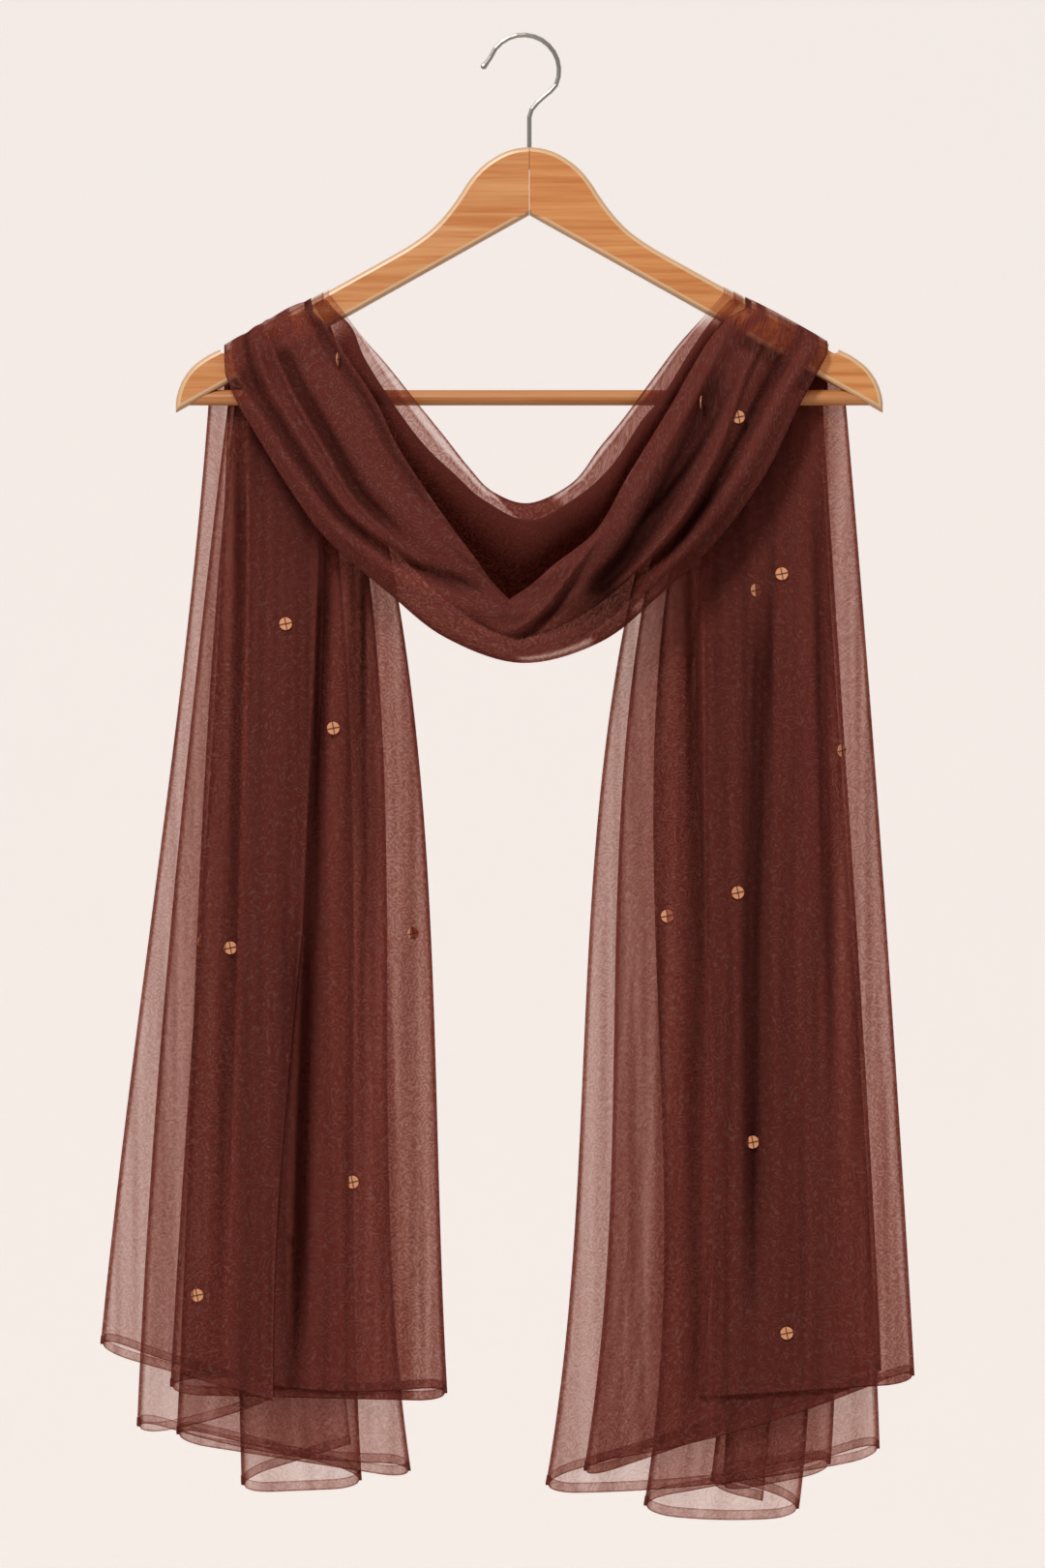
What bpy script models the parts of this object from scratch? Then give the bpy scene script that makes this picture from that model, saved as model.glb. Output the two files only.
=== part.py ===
"""A sheer net dupatta stole draped over a wooden trouser hanger.

Metres, +Z up. The origin is the inner crest of the hook, where a peg or rail holds the hanger.
+X is the viewer's right, and the viewer looks along +Y. Sizes below are in millimetres and are
turned to metres where a point is made.
"""
import math

import bmesh
import bpy
import numpy as np
from mathutils import Vector

MM = 0.001

# Hanger sizes
HANGER_MIDDLE = 3.7          # the halves' seam stands a little to the right of the hook's crest
HANGER_THICKNESS = 13.0
HANGER_EDGE_RADIUS = 3.0
HANGER_EDGE_STEPS = 3
OUTLINE_STEPS = 3            # steps between two points of a half's outline
SEAM_GAP = 0.3               # clearance between any two pieces that touch
ROUND_SIDES = 16             # sides of a round bar or hole
CUTTER_LENGTH = 30.0
SQUARE_EDGE = 60.0           # degrees: the outline's edges are sharper than this
SHARP_EDGE = 40.0            # degrees: from here on, an edge is shaded sharp
BAR_RADIUS = 4.9
BAR_HEIGHT = -227.6
SOCKET_END = 214.5           # how far out from the middle the bar's sockets reach
NOTCH_MIDDLE = (191.9, -196.6)
NOTCH_RADIUS = 3.6
WIRE_RADIUS = 1.5
STEM_END = -83.5
LOOP_MIDDLE = (0.0, -21.0)
LOOP_RADIUS = 22.5
LOOP_START = -24.0           # degrees round the loop, from the neck to the tip
LOOP_END = 142.0
LOOP_STEPS = 12
HOOK_NECK = ((HANGER_MIDDLE, -50.5), (5.2, -45.6), (8.8, -41.2), (13.2, -37.2), (17.2, -34.0))
HOOK_TIP = (
    # x, z, thickness
    (-20.6, -12.4, 1.0),
    (-22.9, -15.8, 1.0),
    (-24.3, -17.4, 1.35),
    (-25.6, -18.8, 1.35),
    (-26.4, -19.6, 0.6),
)

# Outline of one half, out from the middle and up, from the seam's top to its foot
HALF_OUTLINE = (
    # out, up, handle
    (0.15, -69.7, "VECTOR"),
    (10.4, -71.2, "AUTO"),
    (22.6, -76.7, "AUTO"),
    (34.8, -87.1, "AUTO"),
    (47.0, -104.8, "AUTO"),
    (59.3, -119.5, "AUTO"),
    (71.5, -129.2, "AUTO"),
    (89.8, -140.2, "AUTO"),
    (195.0, -197.3, "AUTO"),
    (205.9, -203.2, "AUTO"),
    (216.0, -212.5, "AUTO"),
    (222.4, -227.0, "AUTO"),
    (223.0, -236.8, "VECTOR"),
    (0.15, -112.2, "VECTOR"),
)

# The arm's straight upper edge, which the cloth lies on
ARM_EDGE_START = 89.8
ARM_EDGE_HEIGHT = -140.2
ARM_EDGE_SLOPE = -0.5424

# Cloth
WALL = 1.0
HEM_WALL = 1.5
HEM_DEPTH = 6.0
ARM_CLEARANCE = 0.8          # from the wood's face to the middle of the nearest wall
TOP_SPACING = 1.7            # between the middles of two layers at the arm
HEM_SPACING = 3.2            # and at the hem
FALL_HEM_FRONT = 4.0         # how far behind the hanger's middle the front layer's hem hangs
FALL_TOP = -160.0
ARM_FOOT = -245.0            # the arms' tips end above this height
FALL_FOOT = -930.0
TOP_DROP = 1.8               # the front layer's top, below the arm's upper edge
REAR_SLOPE = 0.95            # how much lower each layer behind it starts, for each mm of depth
WAVE_DEPTH = 4.0
WAVE_LENGTH = 150.0
WAVE_DRIFT = 1600.0
ARC_STEPS = 3

# The cloth's x and z below hold as seen against the hanger, from this far in front of it
SIGHT_DISTANCE = 3500.0
SIGHT_MIDDLE = (-0.6, -471.4)

# The swag, a row for each section from the left shoulder to the right one. The four lines
# run the swag's whole length: the outer and lower edge, the crease where the front fold turns
# in, the top of the inner roll, and the back layer's upper edge. Hang is 0 against the arm and
# 1 at the lowest, most forward section.
SWAG_SECTIONS = (
    # outer x, z, crease x, z, roll x, z, back x, z, hang
    (-189, -196, -134, -166, -127, -162, -124, -160, 0.00),
    (-188, -212, -125, -181, -119, -172, -114, -173, 0.00),
    (-180, -231, -117, -194, -108, -184, -101, -190, 0.08),
    (-170, -248, -109, -206, -100, -203, -86, -207, 0.20),
    (-147, -285, -93, -230, -81, -233, -66, -232, 0.40),
    (-123, -317, -79, -259, -62, -258, -49, -253, 0.60),
    (-86, -349, -56, -294, -42, -277, -34, -272, 0.80),
    (-49, -378, -31, -328, -25, -292, -19, -287, 0.95),
    (-1, -394, -9, -355, 4, -305, 4, -294, 1.00),
    (48, -381, 19, -333, 34, -290, 31, -281, 0.95),
    (85, -352, 46, -311, 56, -270, 48, -259, 0.80),
    (122, -317, 67, -275, 74, -243, 62, -242, 0.60),
    (152, -276, 91, -236, 88, -226, 79, -219, 0.38),
    (172, -236, 114, -196, 106, -197, 97, -195, 0.18),
    (185, -212, 129, -177, 121, -176, 114, -176, 0.00),
    (192, -195, 140, -164, 134, -162, 128, -160, 0.00),
)

# Cross profile of the front fold, from the outer edge to the crease: how far each place stands
# forward of the straight line between them
FRONT_PROFILE = (
    # across, left, middle, right
    (0.00, 0.0, 0.0, 0.0),
    (0.12, 3.5, 11.0, 3.0),
    (0.27, 5.0, 17.0, 5.5),
    (0.42, 2.5, 10.0, 2.0),
    (0.56, 5.5, 14.0, 5.0),
    (0.70, 3.5, 11.0, 7.0),
    (0.85, 4.5, 8.0, 2.5),
    (1.00, 1.0, 2.0, 1.0),
)

# Depth of each edge of the swag's layers, at the arm and where it hangs furthest forward
SWAG_DEPTHS = {
    "front outer": (-14.0, -30.0),
    "front crease": (-14.0, -44.0),
    "second at crease": (-12.3, -39.0),
    "second at tuck": (-12.3, -33.0),
    "third at tuck": (-10.7, -29.0),
    "third at roll": (-10.7, -24.0),
    "fourth at roll": (-9.1, -20.5),
    "fourth at tuck": (-9.1, -19.0),
    "back at tuck": (-7.5, -15.5),
    "back at edge": (-7.5, -12.0),
}
FIRST_TUCK = 0.35            # how far the hidden folds stand in from the outer edge
SECOND_TUCK = 0.50
SWAG_STEPS = 2               # rows from one section to the next
SWAG_COLUMNS = 10
INNER_COLUMNS = (3, 5, 4, 5)
SHOULDER_SWELL = 0.25        # share of the front fold's swell that is left against the arm
SWELL_GROWTH = 3.0           # and how fast it grows with hang
INNER_DROP = 1.6             # the inner layers' tops, below the arm's upper edge
INNER_SLOPE = 1.05           # how much lower each of them starts, for each mm that it stands forward

# Where the outer layer passes over an arm: depth, and height above the arm's upper edge
OVER_ARM_FRONT = ((-13.0, -6.0), (-9.5, -1.6), (-5.5, 1.2))
OVER_ARM_TOP = (0.0, 1.6)
OVER_ARM_BACK = ((6.4, 1.1), (12.0, -3.0))
REAR_SHOULDER = (13.0, -6.6)     # it stands halfway from this depth to the rear flap's
REAR_FLAP = (
    # depth from the flap's own, height
    (-0.6, -13.0),
    (-0.1, -22.0),
    (0.0, -30.0),
)

# The falls, a row for each fold from the front layer to the back one: x at the arm, at two
# heights on the way down and at the hem, the hem's height there, and how much the hem droops
# between this fold and the next one
FALL_HEIGHTS = (-343.0, -587.0)
LEFT_FALL = (
    # name, arm, upper, lower, hem, hem height, droop
    ("front selvedge", -141, -126, -142, -158, -856, 0),
    ("outer left fold", -197, -209, -239, -267, -825, 16),
    ("outer right fold", -127, -79, -59, -48, -856, 0),
    ("second left fold", -186, -198, -223, -249, -816, 0),
    ("hidden right fold", -147, -129, -141, -147, -850, 4),
    ("back left fold", -183, -200, -225, -244, -877, 8),
    ("dense right fold", -132, -97, -86, -71, -905, 0),
    ("inner left fold", -179, -193, -207, -219, -882, 0),
    ("lower right fold", -137, -115, -107, -102, -911, 0),
    ("lower left fold", -175, -173, -177, -178, -914, 0),
    ("inner selvedge", -144, -129, -123, -109, -893, 0),
)
LEFT_FALL_SPLIT = "hidden right fold"
RIGHT_FALL = (
    # name, arm, upper, lower, hem, hem height, droop
    ("front selvedge", 143, 111, 116, 111, -854, 0),
    ("outer right fold", 201, 213, 229, 247, -845, 8),
    ("second left fold", 133, 78, 58, 38, -905, 0),
    ("dense right fold", 187, 196, 212, 226, -842, 4),
    ("outer left fold", 130, 64, 43, 18, -914, 6),
    ("lower right fold", 185, 193, 209, 225, -891, 4),
    ("lowest left fold", 136, 91, 84, 76, -927, 3),
    ("lowest right fold", 180, 158, 167, 174, -929, 0),
    ("hidden left fold", 150, 122, 123, 125, -914, 0),
    ("inner right fold", 184, 172, 184, 194, -901, 0),
    ("second hidden fold", 152, 118, 118, 118, -912, 0),
    ("inner selvedge", 172, 142, 145, 151, -919, 0),
)
RIGHT_FALL_SPLIT = "outer left fold"
FALL_ROWS = (0.0, 0.05, 0.13, 0.23, 0.35, 0.49, 0.63, 0.77, 0.90)
RUN_LENGTH = 30.0            # a straight run gets one more column for each such width

COLLECTION_NAME = "dupatta_stole_on_hanger"


def clear_scene():
    for item in list(bpy.data.objects):
        bpy.data.objects.remove(item, do_unlink=True)


def new_collection(name):
    collection = bpy.data.collections.new(name)
    bpy.context.scene.collection.children.link(collection)
    return collection


def new_material(name, colour, roughness, metallic=0.0):
    material = bpy.data.materials.new(name)
    material.use_nodes = True
    shader = material.node_tree.nodes["Principled BSDF"]
    shader.inputs["Base Color"].default_value = (*colour, 1.0)
    shader.inputs["Roughness"].default_value = roughness
    shader.inputs["Metallic"].default_value = metallic
    return material


def add_object(name, data, material, collection):
    item = bpy.data.objects.new(name, data)
    data.materials.append(material)
    collection.objects.link(item)
    return item


def mesh_of_curve(item):
    """The curve object's own mesh, with its loose caps welded. The curve is removed."""
    depsgraph = bpy.context.evaluated_depsgraph_get()
    mesh = bpy.data.meshes.new_from_object(item.evaluated_get(depsgraph))
    work = bmesh.new()
    work.from_mesh(mesh)
    bmesh.ops.remove_doubles(work, verts=work.verts, dist=0.00001)
    work.to_mesh(mesh)
    work.free()
    bpy.data.objects.remove(item, do_unlink=True)
    return mesh


def arm_edge(x):
    """Height of the arms' upper edge at x, along its straight stretch."""
    out = abs(x - HANGER_MIDDLE)
    return ARM_EDGE_HEIGHT + ARM_EDGE_SLOPE * (out - ARM_EDGE_START)


def cylinder_cutter(name, radius, length, middle, turn, collection):
    bpy.ops.mesh.primitive_cylinder_add(vertices=ROUND_SIDES, radius=radius * MM, depth=length * MM)
    cutter = bpy.context.active_object
    cutter.name = name
    cutter.location = Vector(middle) * MM
    cutter.rotation_euler = turn
    cutter.hide_render = True
    cutter.display_type = "WIRE"
    for home in list(cutter.users_collection):
        home.objects.unlink(cutter)
    collection.objects.link(cutter)
    return cutter


def half_outline_mesh(side):
    """One half's flat outline, given its thickness and round long edges."""
    curve = bpy.data.curves.new("half_outline", "CURVE")
    curve.dimensions = "2D"
    curve.fill_mode = "BOTH"
    curve.extrude = HANGER_THICKNESS / 2 * MM
    curve.resolution_u = OUTLINE_STEPS
    spline = curve.splines.new("BEZIER")
    spline.bezier_points.add(len(HALF_OUTLINE) - 1)
    spline.use_cyclic_u = True
    for point, (out, up, handle) in zip(spline.bezier_points, HALF_OUTLINE):
        point.co = (side * out * MM, up * MM, 0.0)
        point.handle_left_type = handle
        point.handle_right_type = handle
    item = bpy.data.objects.new("half_outline", curve)
    bpy.context.scene.collection.objects.link(item)
    bpy.context.view_layer.update()
    mesh = mesh_of_curve(item)
    work = bmesh.new()
    work.from_mesh(mesh)
    bmesh.ops.recalc_face_normals(work, faces=work.faces)
    seam = HALF_OUTLINE[0][0] * MM + 0.0001
    long_edges = [
        edge for edge in work.edges
        if edge.calc_face_angle(0.0) > math.radians(SQUARE_EDGE)
        and abs(edge.verts[0].co.z - edge.verts[1].co.z) < 0.0001
        and max(abs(corner.co.x) for corner in edge.verts) > seam
    ]
    bmesh.ops.bevel(work, geom=long_edges, offset=HANGER_EDGE_RADIUS * MM,
                    segments=HANGER_EDGE_STEPS, affect="EDGES", profile=0.5, material=-1)
    work.to_mesh(mesh)
    work.free()
    return mesh


def hanger_half(name, side, material, collection, cutters):
    """One contoured wooden half, standing up, with its notch, bar socket and hook groove."""
    item = add_object(name, half_outline_mesh(side), material, collection)
    item.location.x = HANGER_MIDDLE * MM
    item.rotation_euler.x = math.pi / 2
    notch_out, notch_up = NOTCH_MIDDLE
    cuts = (
        cylinder_cutter(f"{name}_notch", NOTCH_RADIUS, CUTTER_LENGTH,
                        (HANGER_MIDDLE + side * notch_out, 0.0, notch_up),
                        (math.pi / 2, 0.0, 0.0), cutters),
        cylinder_cutter(f"{name}_socket", BAR_RADIUS + SEAM_GAP, CUTTER_LENGTH,
                        (HANGER_MIDDLE + side * (SOCKET_END - CUTTER_LENGTH / 2), 0.0, BAR_HEIGHT),
                        (0.0, math.pi / 2, 0.0), cutters),
        cylinder_cutter(f"{name}_hook_groove", WIRE_RADIUS + SEAM_GAP, CUTTER_LENGTH,
                        (HANGER_MIDDLE, 0.0, STEM_END - SEAM_GAP + CUTTER_LENGTH / 2),
                        (0.0, 0.0, 0.0), cutters),
    )
    for cut in cuts:
        boolean = item.modifiers.new(cut.name, "BOOLEAN")
        boolean.operation = "DIFFERENCE"
        boolean.object = cut
    item.data.shade_smooth()
    item.data.set_sharp_from_angle(angle=math.radians(SHARP_EDGE))
    return item


def trouser_bar(material, collection):
    half_length = SOCKET_END - SEAM_GAP
    bpy.ops.mesh.primitive_cylinder_add(vertices=ROUND_SIDES, radius=BAR_RADIUS * MM,
                                        depth=2 * half_length * MM)
    bar = bpy.context.active_object
    bar.name = "trouser_bar"
    bar.location = (HANGER_MIDDLE * MM, 0.0, BAR_HEIGHT * MM)
    bar.rotation_euler.y = math.pi / 2
    bar.data.materials.append(material)
    bar.data.shade_smooth()
    bar.data.set_sharp_from_angle(angle=math.radians(SHARP_EDGE))
    for home in list(bar.users_collection):
        home.objects.unlink(bar)
    collection.objects.link(bar)
    return bar


def hook_route():
    """Centre line of the bent wire: stem, neck, loop and tip, with its thickness at each point."""
    route = [(HANGER_MIDDLE, STEM_END, 1.0)]
    route += [(x, z, 1.0) for x, z in HOOK_NECK]
    for step in range(LOOP_STEPS + 1):
        angle = math.radians(LOOP_START + (LOOP_END - LOOP_START) * step / LOOP_STEPS)
        route.append((LOOP_MIDDLE[0] + LOOP_RADIUS * math.cos(angle),
                      LOOP_MIDDLE[1] + LOOP_RADIUS * math.sin(angle), 1.0))
    return route + list(HOOK_TIP)


def wire_hook(material, collection):
    curve = bpy.data.curves.new("hook", "CURVE")
    curve.dimensions = "3D"
    curve.bevel_depth = WIRE_RADIUS * MM
    curve.bevel_resolution = 2
    curve.use_fill_caps = True
    route = hook_route()
    spline = curve.splines.new("POLY")
    spline.points.add(len(route) - 1)
    for point, (x, z, swell) in zip(spline.points, route):
        point.co = (x * MM, 0.0, z * MM, 1.0)
        point.radius = swell
    return add_object("hook", curve, material, collection)


def smooth_rows(rows, steps):
    """Rows put between the given ones on a smooth curve through them, steps to an interval."""
    rows = np.asarray(rows, dtype=float)
    padded = np.concatenate([[2 * rows[0] - rows[1]], rows, [2 * rows[-1] - rows[-2]]])
    out = []
    for index in range(len(rows) - 1):
        before, start, end, after = padded[index:index + 4]
        for step in range(steps):
            t = step / steps
            out.append(0.5 * (2 * start + (end - before) * t
                              + (2 * before - 5 * start + 4 * end - after) * t ** 2
                              + (3 * start - before - 3 * end + after) * t ** 3))
    out.append(rows[-1])
    return np.array(out)


def pleat_path(folds, leave, arrive, columns):
    """Section through a stack of pleats, front layer first.

    Layer i runs from folds[i] to folds[i + 1], from depth leave[i] to arrive[i], and each turn
    is half round. Returns rows of (across, depth, place), where place counts the folds.
    """
    points = []
    last = len(folds) - 2
    for layer in range(last + 1):
        way = 1.0 if folds[layer + 1] > folds[layer] else -1.0
        start, end = folds[layer], folds[layer + 1]
        if layer > 0:
            start += way * abs(leave[layer] - arrive[layer - 1]) / 2
        turn = 0.0
        if layer < last:
            turn = (leave[layer + 1] - arrive[layer]) / 2
            end -= way * abs(turn)
        for step in range(columns[layer] + 1):
            share = step / columns[layer]
            points.append((start + (end - start) * share,
                           leave[layer] + (arrive[layer] - leave[layer]) * share, layer + share))
        if layer < last:
            for step in range(1, ARC_STEPS):
                angle = math.pi * (step / ARC_STEPS - 0.5)
                points.append((end + way * abs(turn) * math.cos(angle),
                               arrive[layer] + turn * (1.0 + math.sin(angle)), layer + 1.0))
    return np.array(points)


def as_seen(points):
    """Points whose x and z hold at the hanger's depth, carried along the line of sight to their own."""
    scale = 1.0 + points[..., 1] / SIGHT_DISTANCE
    x = SIGHT_MIDDLE[0] + (points[..., 0] - SIGHT_MIDDLE[0]) * scale
    z = SIGHT_MIDDLE[1] + (points[..., 2] - SIGHT_MIDDLE[1]) * scale
    return np.stack([x, points[..., 1], z], axis=-1)


def cloth_object(name, grid, material, collection, hem_rows=0):
    """A wall through the middle points of grid, thickened along its last rows where hemmed."""
    grid = as_seen(np.asarray(grid))
    rows, columns = grid.shape[:2]
    faces = []
    for row in range(rows - 1):
        for column in range(columns - 1):
            first = row * columns + column
            faces.append((first, first + 1, first + columns + 1, first + columns))
    mesh = bpy.data.meshes.new(name)
    mesh.from_pydata((grid.reshape(-1, 3) * MM).tolist(), [], faces)
    mesh.shade_smooth()
    item = add_object(name, mesh, material, collection)
    solidify = item.modifiers.new("wall", "SOLIDIFY")
    solidify.offset = 0.0
    solidify.use_even_offset = True
    solidify.thickness = WALL * MM
    if hem_rows:
        solidify.thickness = HEM_WALL * MM
        group = item.vertex_groups.new(name="hem")
        plain = list(range((rows - hem_rows) * columns))
        hemmed = list(range((rows - hem_rows) * columns, rows * columns))
        group.add(plain, WALL / HEM_WALL, "REPLACE")
        group.add(hemmed, 1.0, "REPLACE")
        solidify.vertex_group = group.name
    return item


def side_mix(left, middle, right, x, hang):
    """Left or right value by the side that x is on, running into the middle one with hang."""
    side = left if x < 0 else right
    return side + (middle - side) * hang


def at_hang(name, hang):
    start, end = SWAG_DEPTHS[name]
    return start + (end - start) * hang


def over_arm_rows(shares, outer, crease, rear_depth, at_left):
    """The outer layer's rows over one arm, from its rear flap's edge to the front face."""
    flap = tuple((rear_depth + back, rise) for back, rise in REAR_FLAP[::-1])
    shoulder = ((rear_depth + REAR_SHOULDER[0]) / 2, REAR_SHOULDER[1])
    stations = flap + (shoulder,) + OVER_ARM_BACK[::-1] + (OVER_ARM_TOP,) + OVER_ARM_FRONT[::-1]
    rows = []
    for depth, rise in stations:
        row = []
        for share in shares:
            x = outer + (crease - outer) * share
            row.append((x, depth, arm_edge(x) + rise))
        rows.append(row)
    return rows if at_left else rows[::-1]


def swag_front(material, collection, rear_left, rear_right):
    """The outer fold: it rises behind each arm, passes over it and hangs as a U in front."""
    shares = np.linspace(0.0, 1.0, SWAG_COLUMNS)
    profile = np.array(FRONT_PROFILE)
    sections = smooth_rows(SWAG_SECTIONS[1:-1], SWAG_STEPS)
    rows = over_arm_rows(shares, SWAG_SECTIONS[0][0], SWAG_SECTIONS[0][2], rear_left, True)
    for section in sections:
        outer_x, outer_z, crease_x, crease_z = section[:4]
        hang = section[8]
        row = []
        for share in shares:
            proud = [np.interp(share, profile[:, 0], profile[:, i]) for i in (1, 2, 3)]
            x = outer_x + (crease_x - outer_x) * share
            z = outer_z + (crease_z - outer_z) * share
            base = at_hang("front outer", hang) * (1 - share) + at_hang("front crease", hang) * share
            shoulder = min(1.0, SHOULDER_SWELL + SWELL_GROWTH * hang)
            y = base - shoulder * side_mix(*proud, x, hang)
            row.append((x, y, z))
        rows.append(row)
    rows += over_arm_rows(shares, SWAG_SECTIONS[-1][0], SWAG_SECTIONS[-1][2], rear_right, False)
    return cloth_object("swag_front", rows, material, collection)


def swag_inner(material, collection):
    """The layers behind the front fold: in from its crease, up to the roll, and the back edge."""
    rows = []
    for section in smooth_rows(SWAG_SECTIONS, SWAG_STEPS)[1:-1]:
        lines = section[:8].reshape(4, 2)
        hang = section[8]
        along = np.concatenate([[0.0], np.cumsum(np.linalg.norm(np.diff(lines, axis=0), axis=1))])
        folds = (along[1] - SEAM_GAP, along[1] * FIRST_TUCK, along[2], along[1] * SECOND_TUCK,
                 along[3])
        leave = [at_hang(name, hang) for name in
                 ("second at crease", "third at tuck", "fourth at roll", "back at tuck")]
        arrive = [at_hang(name, hang) for name in
                  ("second at tuck", "third at roll", "fourth at tuck", "back at edge")]
        path = pleat_path(folds, leave, arrive, INNER_COLUMNS)
        row = []
        for across, depth, place in path:
            x = np.interp(across, along, lines[:, 0])
            z = np.interp(across, along, lines[:, 1])
            highest = arm_edge(x) - INNER_DROP - INNER_SLOPE * (-depth - HANGER_THICKNESS / 2)
            row.append((x, depth, min(z, highest)))
        rows.append(row)
    return cloth_object("swag_inner", rows, material, collection)


def way_down(z, start=FALL_TOP):
    """0 at the height start and above it, 1 at the foot of a fall."""
    return min(1.0, max(0.0, (start - z) / (start - FALL_FOOT)))


def wave(x, z):
    """Slow ripples that the whole stack of a fall shares, from below the arm to the hem."""
    turns = x / WAVE_LENGTH + z / WAVE_DRIFT
    return WAVE_DEPTH * way_down(z, ARM_FOOT) * math.sin(2 * math.pi * turns)


def layer_depth(layer, z):
    """Depth of a layer's middle, counted from the front one, at height z."""
    front = HANGER_THICKNESS / 2 + ARM_CLEARANCE
    front += (FALL_HEM_FRONT - front) * way_down(z, ARM_FOOT)
    return front + (TOP_SPACING + (HEM_SPACING - TOP_SPACING) * way_down(z)) * layer


def fall_grid(folds):
    """Middle points of one fall, a row for each height, and the place of each column."""
    count = len(folds)
    layers = np.arange(count - 1)
    top_layers = np.append(layers, layers[-1])
    tops = np.array([arm_edge(fold[1]) - TOP_DROP - REAR_SLOPE * TOP_SPACING * layer
                     for fold, layer in zip(folds, top_layers)])
    hems = np.array([fold[5] for fold in folds], dtype=float)
    curves = [np.polyfit((top, *FALL_HEIGHTS, fold[5]), fold[1:5], 3)
              for fold, top in zip(folds, tops)]
    widths = [abs(folds[i + 1][4] - folds[i][4]) for i in layers]
    columns = [max(2, round(width / RUN_LENGTH)) for width in widths]
    hem_share = 1.0 - HEM_DEPTH / (tops.mean() - hems.mean())
    grid = []
    for share in (*FALL_ROWS, hem_share, 1.0):
        heights = tops + (hems - tops) * share
        xs = [np.polyval(curve, height) for curve, height in zip(curves, heights)]
        spacing = TOP_SPACING + (HEM_SPACING - TOP_SPACING) * way_down(heights.mean())
        path = pleat_path(xs, layers * spacing, layers * spacing, columns)
        row = []
        for x, depth, place in path:
            z = np.interp(place, range(count), heights)
            layer = min(int(place), count - 2)
            part = place - layer
            z -= folds[layer][6] * 4.0 * part * (1.0 - part) * share ** 3
            row.append((x, layer_depth(depth / spacing, z) + wave(x, z), z))
        grid.append(row)
    return np.array(grid), path[:, 2]


def split_grid(grid, places, fold):
    """The grid in two at the middle of a fold's turn, each part drawn back by half a gap."""
    turn = [i for i, place in enumerate(places) if abs(place - fold) < 0.001]
    middle = (grid[:, turn[1]] + grid[:, turn[2]]) / 2 if len(turn) > 3 else grid[:, turn[1]]
    front = np.concatenate([grid[:, :turn[1] + 1], middle[:, None]], axis=1)
    back = np.concatenate([middle[:, None], grid[:, turn[2]:]], axis=1)
    for part, end, inner in ((front, -1, -2), (back, 0, 1)):
        way = part[:, inner] - part[:, end]
        length = np.linalg.norm(way, axis=1, keepdims=True)
        part[:, end] += way / length * (SEAM_GAP / 2)
    return front, back


def fall(side, folds, split_name, material, collection):
    """One end of the cloth, pleated like an accordion, in a front group and a back group."""
    grid, places = fall_grid(folds)
    split = [fold[0] for fold in folds].index(split_name)
    front, back = split_grid(grid, places, split)
    cloth_object(f"{side}_fall_front", front, material, collection, hem_rows=2)
    cloth_object(f"{side}_fall_back", back, material, collection, hem_rows=2)


def rear_depth(folds):
    """Depth of the outer layer's rear flap, just behind a fall's last layer."""
    return layer_depth(len(folds) - 2, ARM_FOOT) + WALL + SEAM_GAP


def main():
    clear_scene()
    parts = new_collection(COLLECTION_NAME)
    cutters = new_collection("cutters")
    wood = new_material("lacquered_beech", (0.66, 0.27, 0.08), 0.38)
    steel = new_material("satin_steel_wire", (0.55, 0.52, 0.49), 0.32, metallic=1.0)
    net = new_material("chocolate_maroon_net", (0.10, 0.028, 0.022), 0.6)
    hanger_half("hanger_left_half", -1, wood, parts, cutters)
    hanger_half("hanger_right_half", 1, wood, parts, cutters)
    trouser_bar(wood, parts)
    wire_hook(steel, parts)
    swag_front(net, parts, rear_depth(LEFT_FALL), rear_depth(RIGHT_FALL))
    swag_inner(net, parts)
    fall("left", LEFT_FALL, LEFT_FALL_SPLIT, net, parts)
    fall("right", RIGHT_FALL, RIGHT_FALL_SPLIT, net, parts)


main()
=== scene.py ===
"""A sheer chocolate-maroon net dupatta draped over a wooden trouser hanger, as it is seen.

Metres in the scene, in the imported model's frame. Sizes below are in millimetres, with the same
cloth tables as the solids, and are turned to metres where a point is made.
"""
import math

import bmesh
import bpy
import numpy as np
from mathutils import Matrix, Vector


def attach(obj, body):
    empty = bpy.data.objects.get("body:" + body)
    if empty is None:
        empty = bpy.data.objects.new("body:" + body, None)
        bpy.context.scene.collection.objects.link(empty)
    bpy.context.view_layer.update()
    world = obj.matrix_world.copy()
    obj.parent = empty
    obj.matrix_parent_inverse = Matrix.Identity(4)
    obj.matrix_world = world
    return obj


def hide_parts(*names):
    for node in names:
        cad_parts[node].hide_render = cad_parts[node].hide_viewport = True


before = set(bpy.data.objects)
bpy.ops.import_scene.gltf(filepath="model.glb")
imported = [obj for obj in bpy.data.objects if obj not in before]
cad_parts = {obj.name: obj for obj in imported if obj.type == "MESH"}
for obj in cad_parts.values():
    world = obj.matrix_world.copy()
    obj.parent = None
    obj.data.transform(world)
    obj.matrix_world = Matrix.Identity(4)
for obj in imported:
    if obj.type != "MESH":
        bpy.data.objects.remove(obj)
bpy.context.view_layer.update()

MM = 0.001
BODY = "root"

# Hanger, where the cloth touches it
HANGER_MIDDLE = 3.7
HANGER_THICKNESS = 13.0
ARM_EDGE_START = 89.8
ARM_EDGE_HEIGHT = -140.2
ARM_EDGE_SLOPE = -0.5424

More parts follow.
